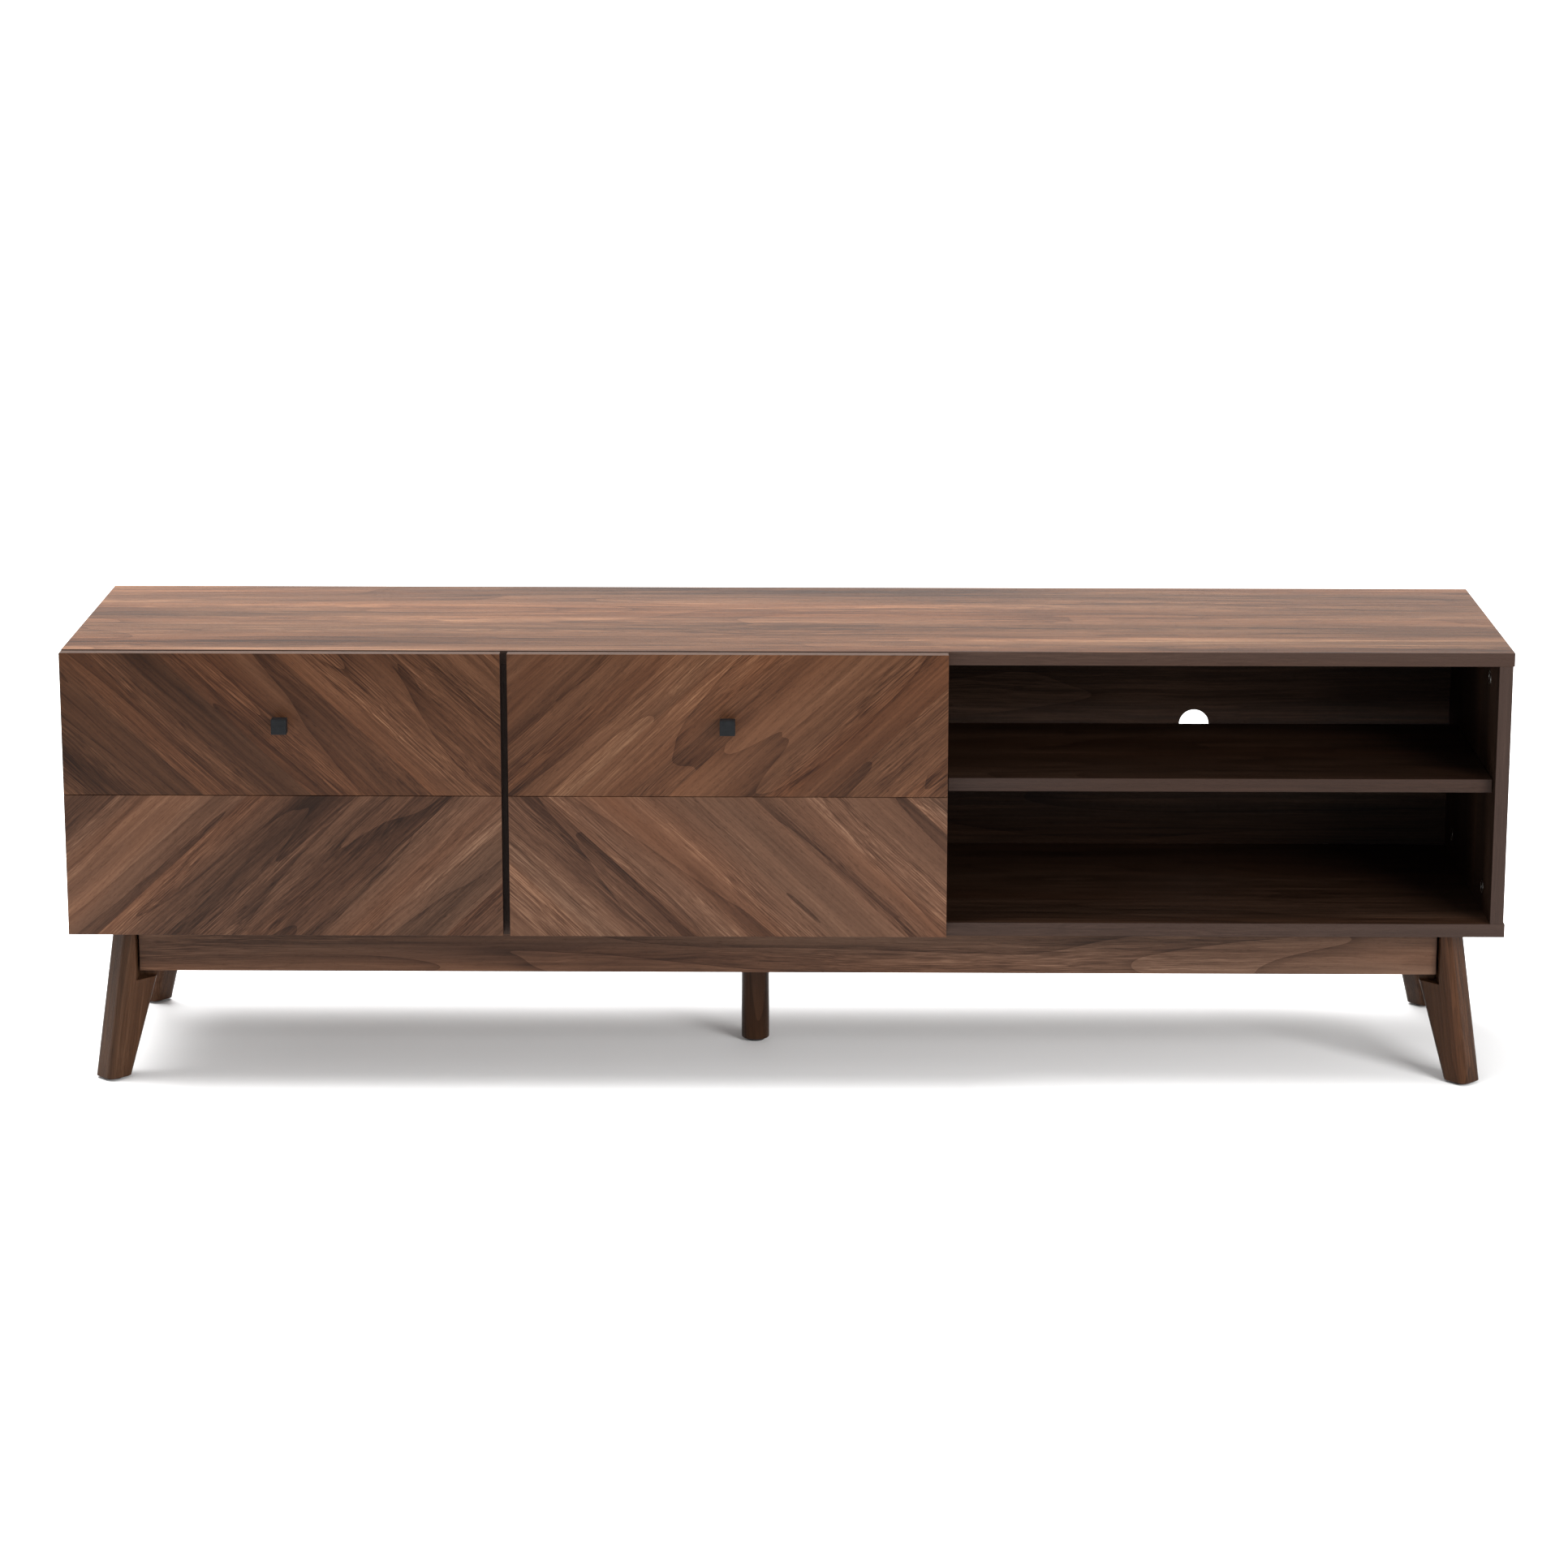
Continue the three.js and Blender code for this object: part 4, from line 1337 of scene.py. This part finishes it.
@dataclass
class Legs:
    """Four tapered planks on the diagonal at the corners, and a round leg in the middle."""

    stock: Stock
    thickness: float = 32 * MM
    foot_width: float = 32 * MM
    top_width: float = 65 * MM
    splay: float = 31.8 * MM
    rounding: float = 8 * MM
    pocket_floor: float = 9 * MM
    end_gap: float = 2.5 * MM
    eased: float = 0.5 * MM
    post_eased: float = 1.5 * MM
    plate_eased: float = 1.2 * MM
    glide_eased: float = 1.2 * MM
    screw_inset: float = 6 * MM
    # Painted shade: the legs' level steps darker to the right and towards the rear, for the shade that
    # falls on them.
    tone: float = 0.49
    painted_shade_step: float = 0.05
    post_tone: float = 0.48

    def blank(self) -> Piece:
        """One leg at the origin: +X is outwards, and the plank is thick along Y.

        Returns:
            The leg, without the seats for its rails.
        """
        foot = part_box("glide_front_left")[1].z
        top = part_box("bottom_panel")[0].z
        lean = self.splay / top
        taper = (self.top_width - self.foot_width) / top

        def outer(level: float) -> float:
            """Where the outer edge is at a level."""
            return -lean * level

        def width(level: float) -> float:
            """How wide the plank is at a level."""
            return self.foot_width + taper * level

        half = self.thickness / 2
        leg = Bench.block("leg_model", Vector((-1.0, -half, foot)), Vector((0.0, half, top)))
        for level, way in ((foot, DOWN), (top, UP)):
            centre = Vector((-0.5, 0.0, level))
            with Bench.faces(leg, facing(way)):
                bpy.ops.transform.resize(
                    value=(width(level), 1.0, 1.0),
                    orient_type="GLOBAL",
                    center_override=centre,
                )
                shift = outer(level) - width(level) / 2 - centre.x
                bpy.ops.transform.translate(value=(shift, 0.0, 0.0))
        self.round_long_edges(leg)
        return leg

    def round_long_edges(self, leg: Piece) -> None:
        """Rounds the four edges that run down a leg.

        Args:
            leg: The leg.
        """
        Bench.pick(leg)
        bpy.ops.object.mode_set(mode="EDIT")
        bpy.ops.mesh.select_mode(type="EDGE")
        bpy.ops.mesh.select_all(action="DESELECT")
        mesh = bmesh.from_edit_mesh(leg.data)
        for edge in mesh.edges:
            first, second = edge.verts
            edge.select_set(abs(first.co.z - second.co.z) > self.thickness)
        bmesh.update_edit_mesh(leg.data)
        bpy.ops.mesh.bevel(offset=self.rounding, segments=6, profile=0.5, affect="EDGES")
        bpy.ops.object.mode_set(mode="OBJECT")

    def pockets(self, side: int, end: int) -> tuple[Piece, Piece]:
        """The tools for the seats that an apron and a side rail take in a leg.

        Args:
            side: -1 at the left and 1 at the right.
            end: -1 at the front and 1 at the rear.

        Returns:
            The tools for the apron's open seat and for the side rail's seat.
        """
        low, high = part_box("apron_front" if end < 0 else "apron_rear")
        floor, top = low.z - self.pocket_floor, high.z + self.pocket_floor
        reach = self.top_width
        tip = side * (high.x + self.end_gap)
        outside = low.y - reach if end < 0 else high.y + reach
        inside = high.y if end < 0 else low.y
        seat = self.box_between((tip - side * reach, outside, floor), (tip, inside, top))
        rail_low, rail_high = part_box("side_rail_left" if side < 0 else "side_rail_right")
        root = rail_high.x if side < 0 else rail_low.x
        far = (root + side * reach, inside - end * reach, top)
        return seat, self.box_between((root, inside, floor), far)

    @staticmethod
    def box_between(first: Sequence[float], second: Sequence[float]) -> Piece:
        """A tool between two opposite corners.

        Args:
            first: One corner.
            second: The corner across from it.

        Returns:
            The tool.
        """
        low = Vector(min(a, b) for a, b in zip(first, second))
        high = Vector(max(a, b) for a, b in zip(first, second))
        return Bench.block("pocket_tool", low, high)

    def corner(self, pattern: Piece, name: str, side: int, end: int, index: int) -> None:
        """Sets one leg where its glide stands.

        Args:
            pattern: The leg model.
            name: The corner's name.
            side: -1 at the left and 1 at the right.
            end: -1 at the front and 1 at the rear.
            index: The number of the leg, for its figure.
        """
        node = f"leg_{name}"
        glide_low, glide_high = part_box(f"glide_{name}")
        glide = (glide_low + glide_high) / 2
        inset = self.foot_width / 2 / math.sqrt(2.0)
        spot = Vector((glide.x + side * inset, glide.y + end * inset, 0.0))
        turn = math.atan2(end, side)
        place = Matrix.Translation(spot) @ Matrix.Rotation(turn, 4, "Z")
        leg = Bench.copy(pattern, f"{node}_wood", place)
        Bench.cut(leg, *self.pockets(side, end))
        Bench.ease(leg, self.eased, 2, 40.0)
        lean = math.atan(self.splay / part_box("bottom_panel")[0].z)
        upright = Euler((0.0, math.pi / 2 + lean, 0.0)).to_matrix()
        grain = upright @ Euler((0.0, 0.0, -turn)).to_matrix()
        # Painted shade: darker on the right-hand and rear legs.
        wood = replace(SOLID, level=self.tone - self.painted_shade_step * (side + (1 + end) / 2))
        Bench.dress(leg, wood.material(f"{node}_grain", grain.to_euler(), 97.0 + 6.0 * index))
        fit(leg, "cabinet", "walnut_legs", node)

    def glides(self) -> None:
        """A domed nail-on glide under every leg."""
        for name in ("front_left", "front_right", "rear_left", "rear_right", "centre"):
            node = f"glide_{name}"
            low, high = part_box(node)
            middle = (low + high) / 2
            reach = UP * (high.z - low.z) / 2
            radius = (high.x - low.x) / 2
            disc = Bench.rod(f"{node}_disc", radius, middle - reach, middle + reach, 48)
            with Bench.faces(disc, facing(DOWN)):
                bpy.ops.mesh.bevel(offset=self.glide_eased, segments=4)
            Bench.shade(disc, 60.0)
            Bench.dress(disc, self.stock.plastic)
            fit(disc, "cabinet", "glide_plastic", node)

    def centre(self, screws: Screws) -> None:
        """The round leg with its steel plate and four screws.

        Args:
            screws: Sets the plate's screws.
        """
        low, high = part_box("centre_leg")
        middle = (low + high) / 2
        reach = UP * (high.z - low.z) / 2
        radius = (high.x - low.x) / 2
        post = Bench.rod("centre_leg_post", radius, middle - reach, middle + reach, 64)
        Bench.ease(post, self.post_eased, 3, 60.0)
        wood = replace(SOLID, level=self.post_tone)
        Bench.dress(post, wood.material("centre_leg_grain", Grain.ALONG_Z, 131.0))
        fit(post, "cabinet", "walnut_legs", "centre_leg")
        low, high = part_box("centre_leg_plate")
        plate = Bench.block("centre_leg_steel_plate", low, high)
        Bench.ease(plate, self.plate_eased, 3)
        Bench.dress(plate, self.stock.zinc)
        fit(plate, "cabinet", "plated_steel", "centre_leg_plate")
        reach = (high.x - low.x) / 2 - self.screw_inset
        centre = (low + high) / 2
        for number, (x, y) in enumerate(((-1, -1), (1, -1), (-1, 1), (1, 1))):
            point = Vector((centre.x + x * reach, centre.y + y * reach, low.z))
            screws.place(f"plate_screw_{number + 1}", point, DOWN, "cabinet", 0.4 + number)

    def build(self, screws: Screws) -> None:
        """Builds the legs and their glides.

        Args:
            screws: Sets the screws of the middle leg's plate.
        """
        pattern = self.blank()
        corners = (
            ("front_left", -1, -1),
            ("front_right", 1, -1),
            ("rear_left", -1, 1),
            ("rear_right", 1, 1),
        )
        for index, (name, side, end) in enumerate(corners):
            self.corner(pattern, name, side, end, index)
        Bench.discard(pattern)
        self.glides()
        self.centre(screws)


# ---------------------------------------------------------------- flaps


@dataclass
class Flap:
    """A drop-front flap: a chevron-veneered panel with a V groove, a knob and its fittings."""

    stock: Stock
    side: str
    upper: tuple[Grain, Walnut]
    lower: tuple[Grain, Walnut]
    seed: float
    eased: float = 0.8 * MM
    rim: float = 1.0 * MM
    groove_width: float = 2.0 * MM
    groove_depth: float = 1.5 * MM
    groove_lap: float = 0.2 * MM
    cup_radius: float = 17.5 * MM
    bore_slack: float = 0.3 * MM
    screw_bore: float = 2.3 * MM
    neck: float = 6 * MM
    neck_radius: float = 5 * MM
    knob_eased: float = 1.0 * MM

    def panel(self) -> None:
        """The panel with its groove, its bores and its two sheets of veneer."""
        node = f"flap_panel_{self.side}"
        low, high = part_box(node)
        panel = Bench.block(f"{node}_board", low, high)
        Bench.ease(panel, self.eased, 3)
        level = (low.z + high.z) / 2
        bar = self.groove_width / math.sqrt(2.0) / 2
        spot = low.y + self.groove_depth - self.groove_width / 2
        tool = Bench.block(
            "groove_tool",
            Vector((low.x - self.rim, spot - bar, level - bar)),
            Vector((high.x + self.rim, spot + bar, level + bar)),
            (math.pi / 4, 0.0, 0.0),
        )
        Bench.cut(panel, tool, *self.bores(high.y))
        # Painted shade: the back face, inside the cabinet when closed, is dark for its shade.
        Bench.dress(panel, SHADED_INSIDE.material(f"{node}_back", Grain.ALONG_X, self.seed + 5))
        for name, (grain, tone), test, extra in (
            ("upper", self.upper, lambda middle, normal: middle.z > level, 0.0),
            ("lower", self.lower, lambda middle, normal: middle.z <= level, 17.0),
        ):
            veneer = tone.material(f"{node}_{name}", grain, self.seed + extra)
            self.veneer(panel, veneer, low.y, test)
        foot, head = low.z + self.rim, high.z - self.rim
        for band, edge in (
            (self.stock.band_x, lambda middle, normal: middle.z < foot and normal.z < -0.8),
            # Painted reflection: the top edge takes the lighter band.
            (self.stock.band_lit, lambda middle, normal: middle.z > head and normal.z > 0.8),
            (self.stock.band_z, lambda middle, normal: abs(normal.x) > 0.8),
        ):
            Bench.dress(panel, band, edge)
        fit(panel, f"flap_{self.side}", "walnut_flaps", node)

    def veneer(self, panel: Piece, veneer: bpy.types.Material, front: float, half: FaceTest) -> None:
        """Lays one sheet of veneer on its half of the front face, down into the groove.

        Args:
            panel: The flap's panel.
            veneer: The veneer's material.
            front: Where the front face is.
            half: Says which faces are in the sheet's half.
        """
        deepest = front + self.groove_depth + self.groove_lap
        outward = facing(FRONT, 0.3)

        def covered(middle: Vector, normal: Vector) -> bool:
            """Says whether the sheet covers a face."""
            return outward(middle, normal) and middle.y < deepest and half(middle, normal)

        Bench.dress(panel, veneer, covered)

    def bores(self, back: float) -> list[Piece]:
        """The tools for the hinge cups and the knob's screw.

        Args:
            back: Where the back face is.

        Returns:
            The tools.
        """
        slack = self.bore_slack
        tools = []
        for end in ("outer", "inner"):
            low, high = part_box(f"hinge_cup_{self.side}_{end}")
            start = Vector(((low.x + high.x) / 2, low.y - slack, low.z + self.cup_radius))
            mouth = Vector((start.x, back + self.rim, start.z))
            tools.append(Bench.rod("cup_tool", self.cup_radius + slack, start, mouth, 64))
        low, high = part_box(f"knob_screw_{self.side}")
        middle = (low + high) / 2
        start = Vector((middle.x, low.y, middle.z))
        mouth = Vector((middle.x, back + self.rim, middle.z))
        tools.append(Bench.rod("bore_tool", self.screw_bore, start, mouth, 32))
        return tools

    def knob(self) -> None:
        """The square knob on its round neck."""
        node = f"knob_{self.side}"
        low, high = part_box(node)
        middle = (low + high) / 2
        cap = Bench.block(f"{node}_metal", low, high + FRONT * self.neck)
        Bench.ease(cap, self.knob_eased, 4)
        seat = Vector((middle.x, high.y, middle.z))
        root = seat + FRONT * (self.neck + self.knob_eased)
        Bench.join(cap, Bench.rod("neck", self.neck_radius, root, seat, 48))
        Bench.shade(cap, 40.0)
        Bench.dress(cap, self.stock.gunmetal)
        fit(cap, f"flap_{self.side}", "knob_metal", node)

    def build(self) -> None:
        """Builds the flap."""
        self.panel()
        self.knob()


@dataclass
class Fasteners:
    """The screws that hold the hinges, the stay, the catch and the strike plate of one flap."""

    screws: Screws
    side: str
    flange_reach: float = 24.5 * MM
    flange_level: float = 26.5 * MM
    wing_reach: float = 14.5 * MM
    wing_back: float = 23 * MM
    wing_drop: float = 5 * MM
    spine_back: float = 8 * MM
    anchor_reach: float = 15.5 * MM
    anchor_plate: float = 3 * MM
    foot_ends: tuple[float, float] = (7 * MM, 19 * MM)
    foot_plate: float = 2 * MM
    catch_reach: float = 12 * MM

    @property
    def body(self) -> str:
        """The body of the flap."""
        return f"flap_{self.side}"

    def hinges(self) -> None:
        """Two screws in each cup's flange, two in each wing plate and one that sets the arm."""
        for end in ("outer", "inner"):
            name = f"{self.side}_{end}"
            low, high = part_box(f"hinge_cup_{name}")
            middle = (low + high) / 2
            arm_low, arm_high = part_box(f"hinge_arm_{name}")
            arm = (arm_low + arm_high) / 2
            for mark, way in (("a", -1), ("b", 1)):
                spot = Vector((middle.x + way * self.flange_reach, high.y, low.z + self.flange_level))
                self.screws.place(f"cup_screw_{name}_{mark}", spot, BACK, self.body, 0.4 + way)
                wing = arm_high + FRONT * self.wing_back + DOWN * self.wing_drop
                wing.x = arm.x + way * self.wing_reach
                self.screws.place(f"wing_screw_{name}_{mark}", wing, UP, "cabinet", 0.9 - way)
            spine = Vector((arm.x, arm_high.y - self.spine_back, arm_high.z))
            self.screws.place(f"arm_screw_{name}", spine, UP, "cabinet", 0.2)

    def stay(self) -> None:
        """Two screws in the anchor plate and two in the bracket's foot."""
        inward = RIGHT if self.side == "left" else LEFT
        low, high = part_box(f"stay_anchor_{self.side}")
        face = (low.x if self.side == "left" else high.x) + inward.x * self.anchor_plate
        middle = (low + high) / 2
        for mark, way in (("a", -1), ("b", 1)):
            spot = Vector((face, middle.y, middle.z + way * self.anchor_reach))
            self.screws.place(f"anchor_screw_{self.side}_{mark}", spot, inward, "cabinet", 0.7 * way)
        low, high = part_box(f"stay_bracket_{self.side}")
        far = high.x if self.side == "left" else low.x
        for mark, reach, turn in zip(("a", "b"), self.foot_ends, (0.63, 1.71)):
            spot = Vector((far - inward.x * reach, low.y + self.foot_plate, (low.z + high.z) / 2))
            self.screws.place(f"bracket_screw_{self.side}_{mark}", spot, BACK, self.body, turn)

    def catch(self) -> None:
        """Two screws through the magnet catch and one in the strike plate."""
        low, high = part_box(f"magnet_catch_{self.side}")
        middle = (low + high) / 2
        for mark, way in (("a", -1), ("b", 1)):
            spot = Vector((middle.x + way * self.catch_reach, middle.y, low.z))
            self.screws.place(f"catch_screw_{self.side}_{mark}", spot, DOWN, "cabinet", 0.5 + way)
        low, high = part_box(f"strike_plate_{self.side}")
        middle = (low + high) / 2
        spot = Vector((middle.x, high.y, middle.z))
        self.screws.place(f"strike_screw_{self.side}", spot, BACK, self.body, 1.1)

    def build(self) -> None:
        """Sets every screw."""
        self.hinges()
        self.stay()
        self.catch()


# ---------------------------------------------------------------- kept fittings


@dataclass
class KeptFittings:
    """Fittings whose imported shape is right: they keep it, with eased edges and a finish."""

    stock: Stock
    eased: float = 0.25 * MM
    merged: float = 0.002 * MM
    sharp: float = math.radians(40)

    def build(self) -> None:
        """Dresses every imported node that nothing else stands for."""
        for name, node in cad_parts.items():
            if node.hide_render:
                continue
            weld = node.modifiers.new("Weld", "WELD")
            weld.merge_threshold = self.merged
            bevel = node.modifiers.new("Eased", "BEVEL")
            bevel.width = self.eased
            bevel.segments = 2
            bevel.limit_method = "ANGLE"
            bevel.angle_limit = self.sharp
            plastic = name.startswith("magnet_catch")
            node.data.materials.clear()
            node.data.materials.append(self.stock.plastic if plastic else self.stock.zinc)
            LOG.info("%s keeps its packed shape", name)


# ---------------------------------------------------------------- studio


@dataclass(frozen=True)
class Softbox:
    """A large soft light: its middle, the point that it looks at, its size in metres and its watts."""

    name: str
    place: Vector
    aim: Vector
    size: tuple[float, float]
    power: float

    def build(self) -> None:
        """Hangs the light, out of sight of glossy surfaces."""
        light = bpy.data.lights.new(self.name, "AREA")
        light.shape = "RECTANGLE"
        light.size, light.size_y = self.size
        light.energy = self.power
        holder = bpy.data.objects.new(self.name, light)
        holder.visible_glossy = False
        bpy.context.scene.collection.objects.link(holder)
        holder.location = self.place
        holder.rotation_euler = (self.aim - self.place).to_track_quat("-Z", "Y").to_euler()


@dataclass
class Studio:
    """A pale floor, a white surround, soft lights and the camera.

    The camera's place is in metres, its turns in radians, and its lens and sensor in millimetres.
    The backdrop is how bright the surround is where the camera sees it, fill is how bright it is as
    a light, and mirrored is how bright it is where a glossy surface mirrors it.
    """

    place: Vector
    yaw: float
    pitch: float
    roll: float
    lens: float
    lights: tuple[Softbox, ...]
    sensor: float = 36.0
    floor_size: float = 6.0
    backdrop: float = 1.3
    fill: float = 0.8
    mirrored: float = 0.85

    def floor(self) -> None:
        """A wide pale floor with a faint tooth."""
        Bench.clear()
        bpy.ops.mesh.primitive_plane_add(size=self.floor_size)
        floor = Bench.settle("studio_floor")
        graph = Graph("pale_floor")
        cloud = graph.noise(graph.place, (3.0, 3.0, 3.0), 4.0)
        tooth = graph.noise(graph.place, (300.0, 300.0, 300.0), 3.0)
        pale = graph.ramp(cloud, ((0.0, (0.84, 0.84, 0.84)), (1.0, (0.88, 0.88, 0.88))))
        graph.set(Base_Color=pale)
        graph.set(Roughness=graph.total(0.7, graph.swing(cloud, 0.1)), Specular_IOR_Level=0.2)
        graph.bump(tooth, 0.0001, 0.3)
        Bench.dress(floor, graph.material)

    def surround(self) -> None:
        """A plain white surround."""
        world = bpy.data.worlds.new("white_surround")
        world.use_nodes = True
        tree = world.node_tree
        background = tree.nodes["Background"]
        background.inputs["Color"].default_value = (1.0, 1.0, 1.0, 1.0)
        path = tree.nodes.new("ShaderNodeLightPath")
        level: Value = self.fill
        for ray, strength in (("Is Glossy Ray", self.mirrored), ("Is Camera Ray", self.backdrop)):
            choice = tree.nodes.new("ShaderNodeMix")
            tree.links.new(path.outputs[ray], choice.inputs["Factor"])
            choice.inputs["B"].default_value = strength
            if isinstance(level, bpy.types.NodeSocket):
                tree.links.new(level, choice.inputs["A"])
            else:
                choice.inputs["A"].default_value = level
            level = choice.outputs["Result"]
        tree.links.new(level, background.inputs["Strength"])
        bpy.context.scene.world = world

    def camera(self) -> None:
        """The camera, level from side to side and looking a little down."""
        data = bpy.data.cameras.new("camera")
        data.lens = self.lens
        data.sensor_width = self.sensor
        holder = bpy.data.objects.new("camera", data)
        bpy.context.scene.collection.objects.link(holder)
        holder.matrix_world = (
            Matrix.Translation(self.place)
            @ Matrix.Rotation(-self.yaw, 4, "Z")
            @ Matrix.Rotation(math.pi / 2 - self.pitch, 4, "X")
            @ Matrix.Rotation(self.roll, 4, "Z")
        )
        bpy.context.scene.camera = holder

    def build(self) -> None:
        """Sets up the studio."""
        bpy.context.scene.view_settings.view_transform = "Standard"
        self.camera()
        self.floor()
        self.surround()
        for light in self.lights:
            light.build()


STUDIO = Studio(
    place=Vector((0.03575, -4.91103, 1.46004)),
    yaw=-0.00826,
    pitch=0.23005,
    roll=0.00112,
    lens=100.88,
    lights=(
        Softbox("overhead", Vector((-0.9, 0.7, 3.4)), Vector((0.0, 0.0, 0.4)), (4.0, 3.0), 440.0),
        Softbox("key", Vector((2.0, -2.2, 1.2)), Vector((0.2, 0.0, 0.3)), (1.2, 1.2), 95.0),
    ),
)


def main() -> None:
    """Builds the cabinet and the studio, in order."""
    logging.basicConfig(level=logging.INFO, format="%(name)s: %(message)s")
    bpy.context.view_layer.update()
    stock = Stock()
    screws = Screws(stock, Screw())
    Carcass(stock).build()
    Shelf(stock).build()
    CamLocks(stock).build()
    BaseFrame(stock).build()
    Legs(stock).build(screws)
    # Painted shade: the left flap's sheets take a lower level than the right flap's, darker towards the
    # left, where less light falls.
    Flap(
        stock,
        "left",
        upper=(Grain.FALLING, CHEVRON.tinted(*WARM_SHEET, level=0.47)),
        lower=(Grain.RISING, CHEVRON.tinted(*COOL_SHEET, level=0.47)),
        seed=141.0,
    ).build()
    Flap(
        stock,
        "right",
        upper=(Grain.RISING, CHEVRON.tinted(*WARM_SHEET, level=0.51)),
        lower=(Grain.FALLING, CHEVRON.tinted(*COOL_SHEET, level=0.54)),
        seed=173.0,
    ).build()
    for side in ("left", "right"):
        Fasteners(screws, side).build()
    screws.put_away()
    KeptFittings(stock).build()
    STUDIO.build()


if __name__ == "__main__":
    main()
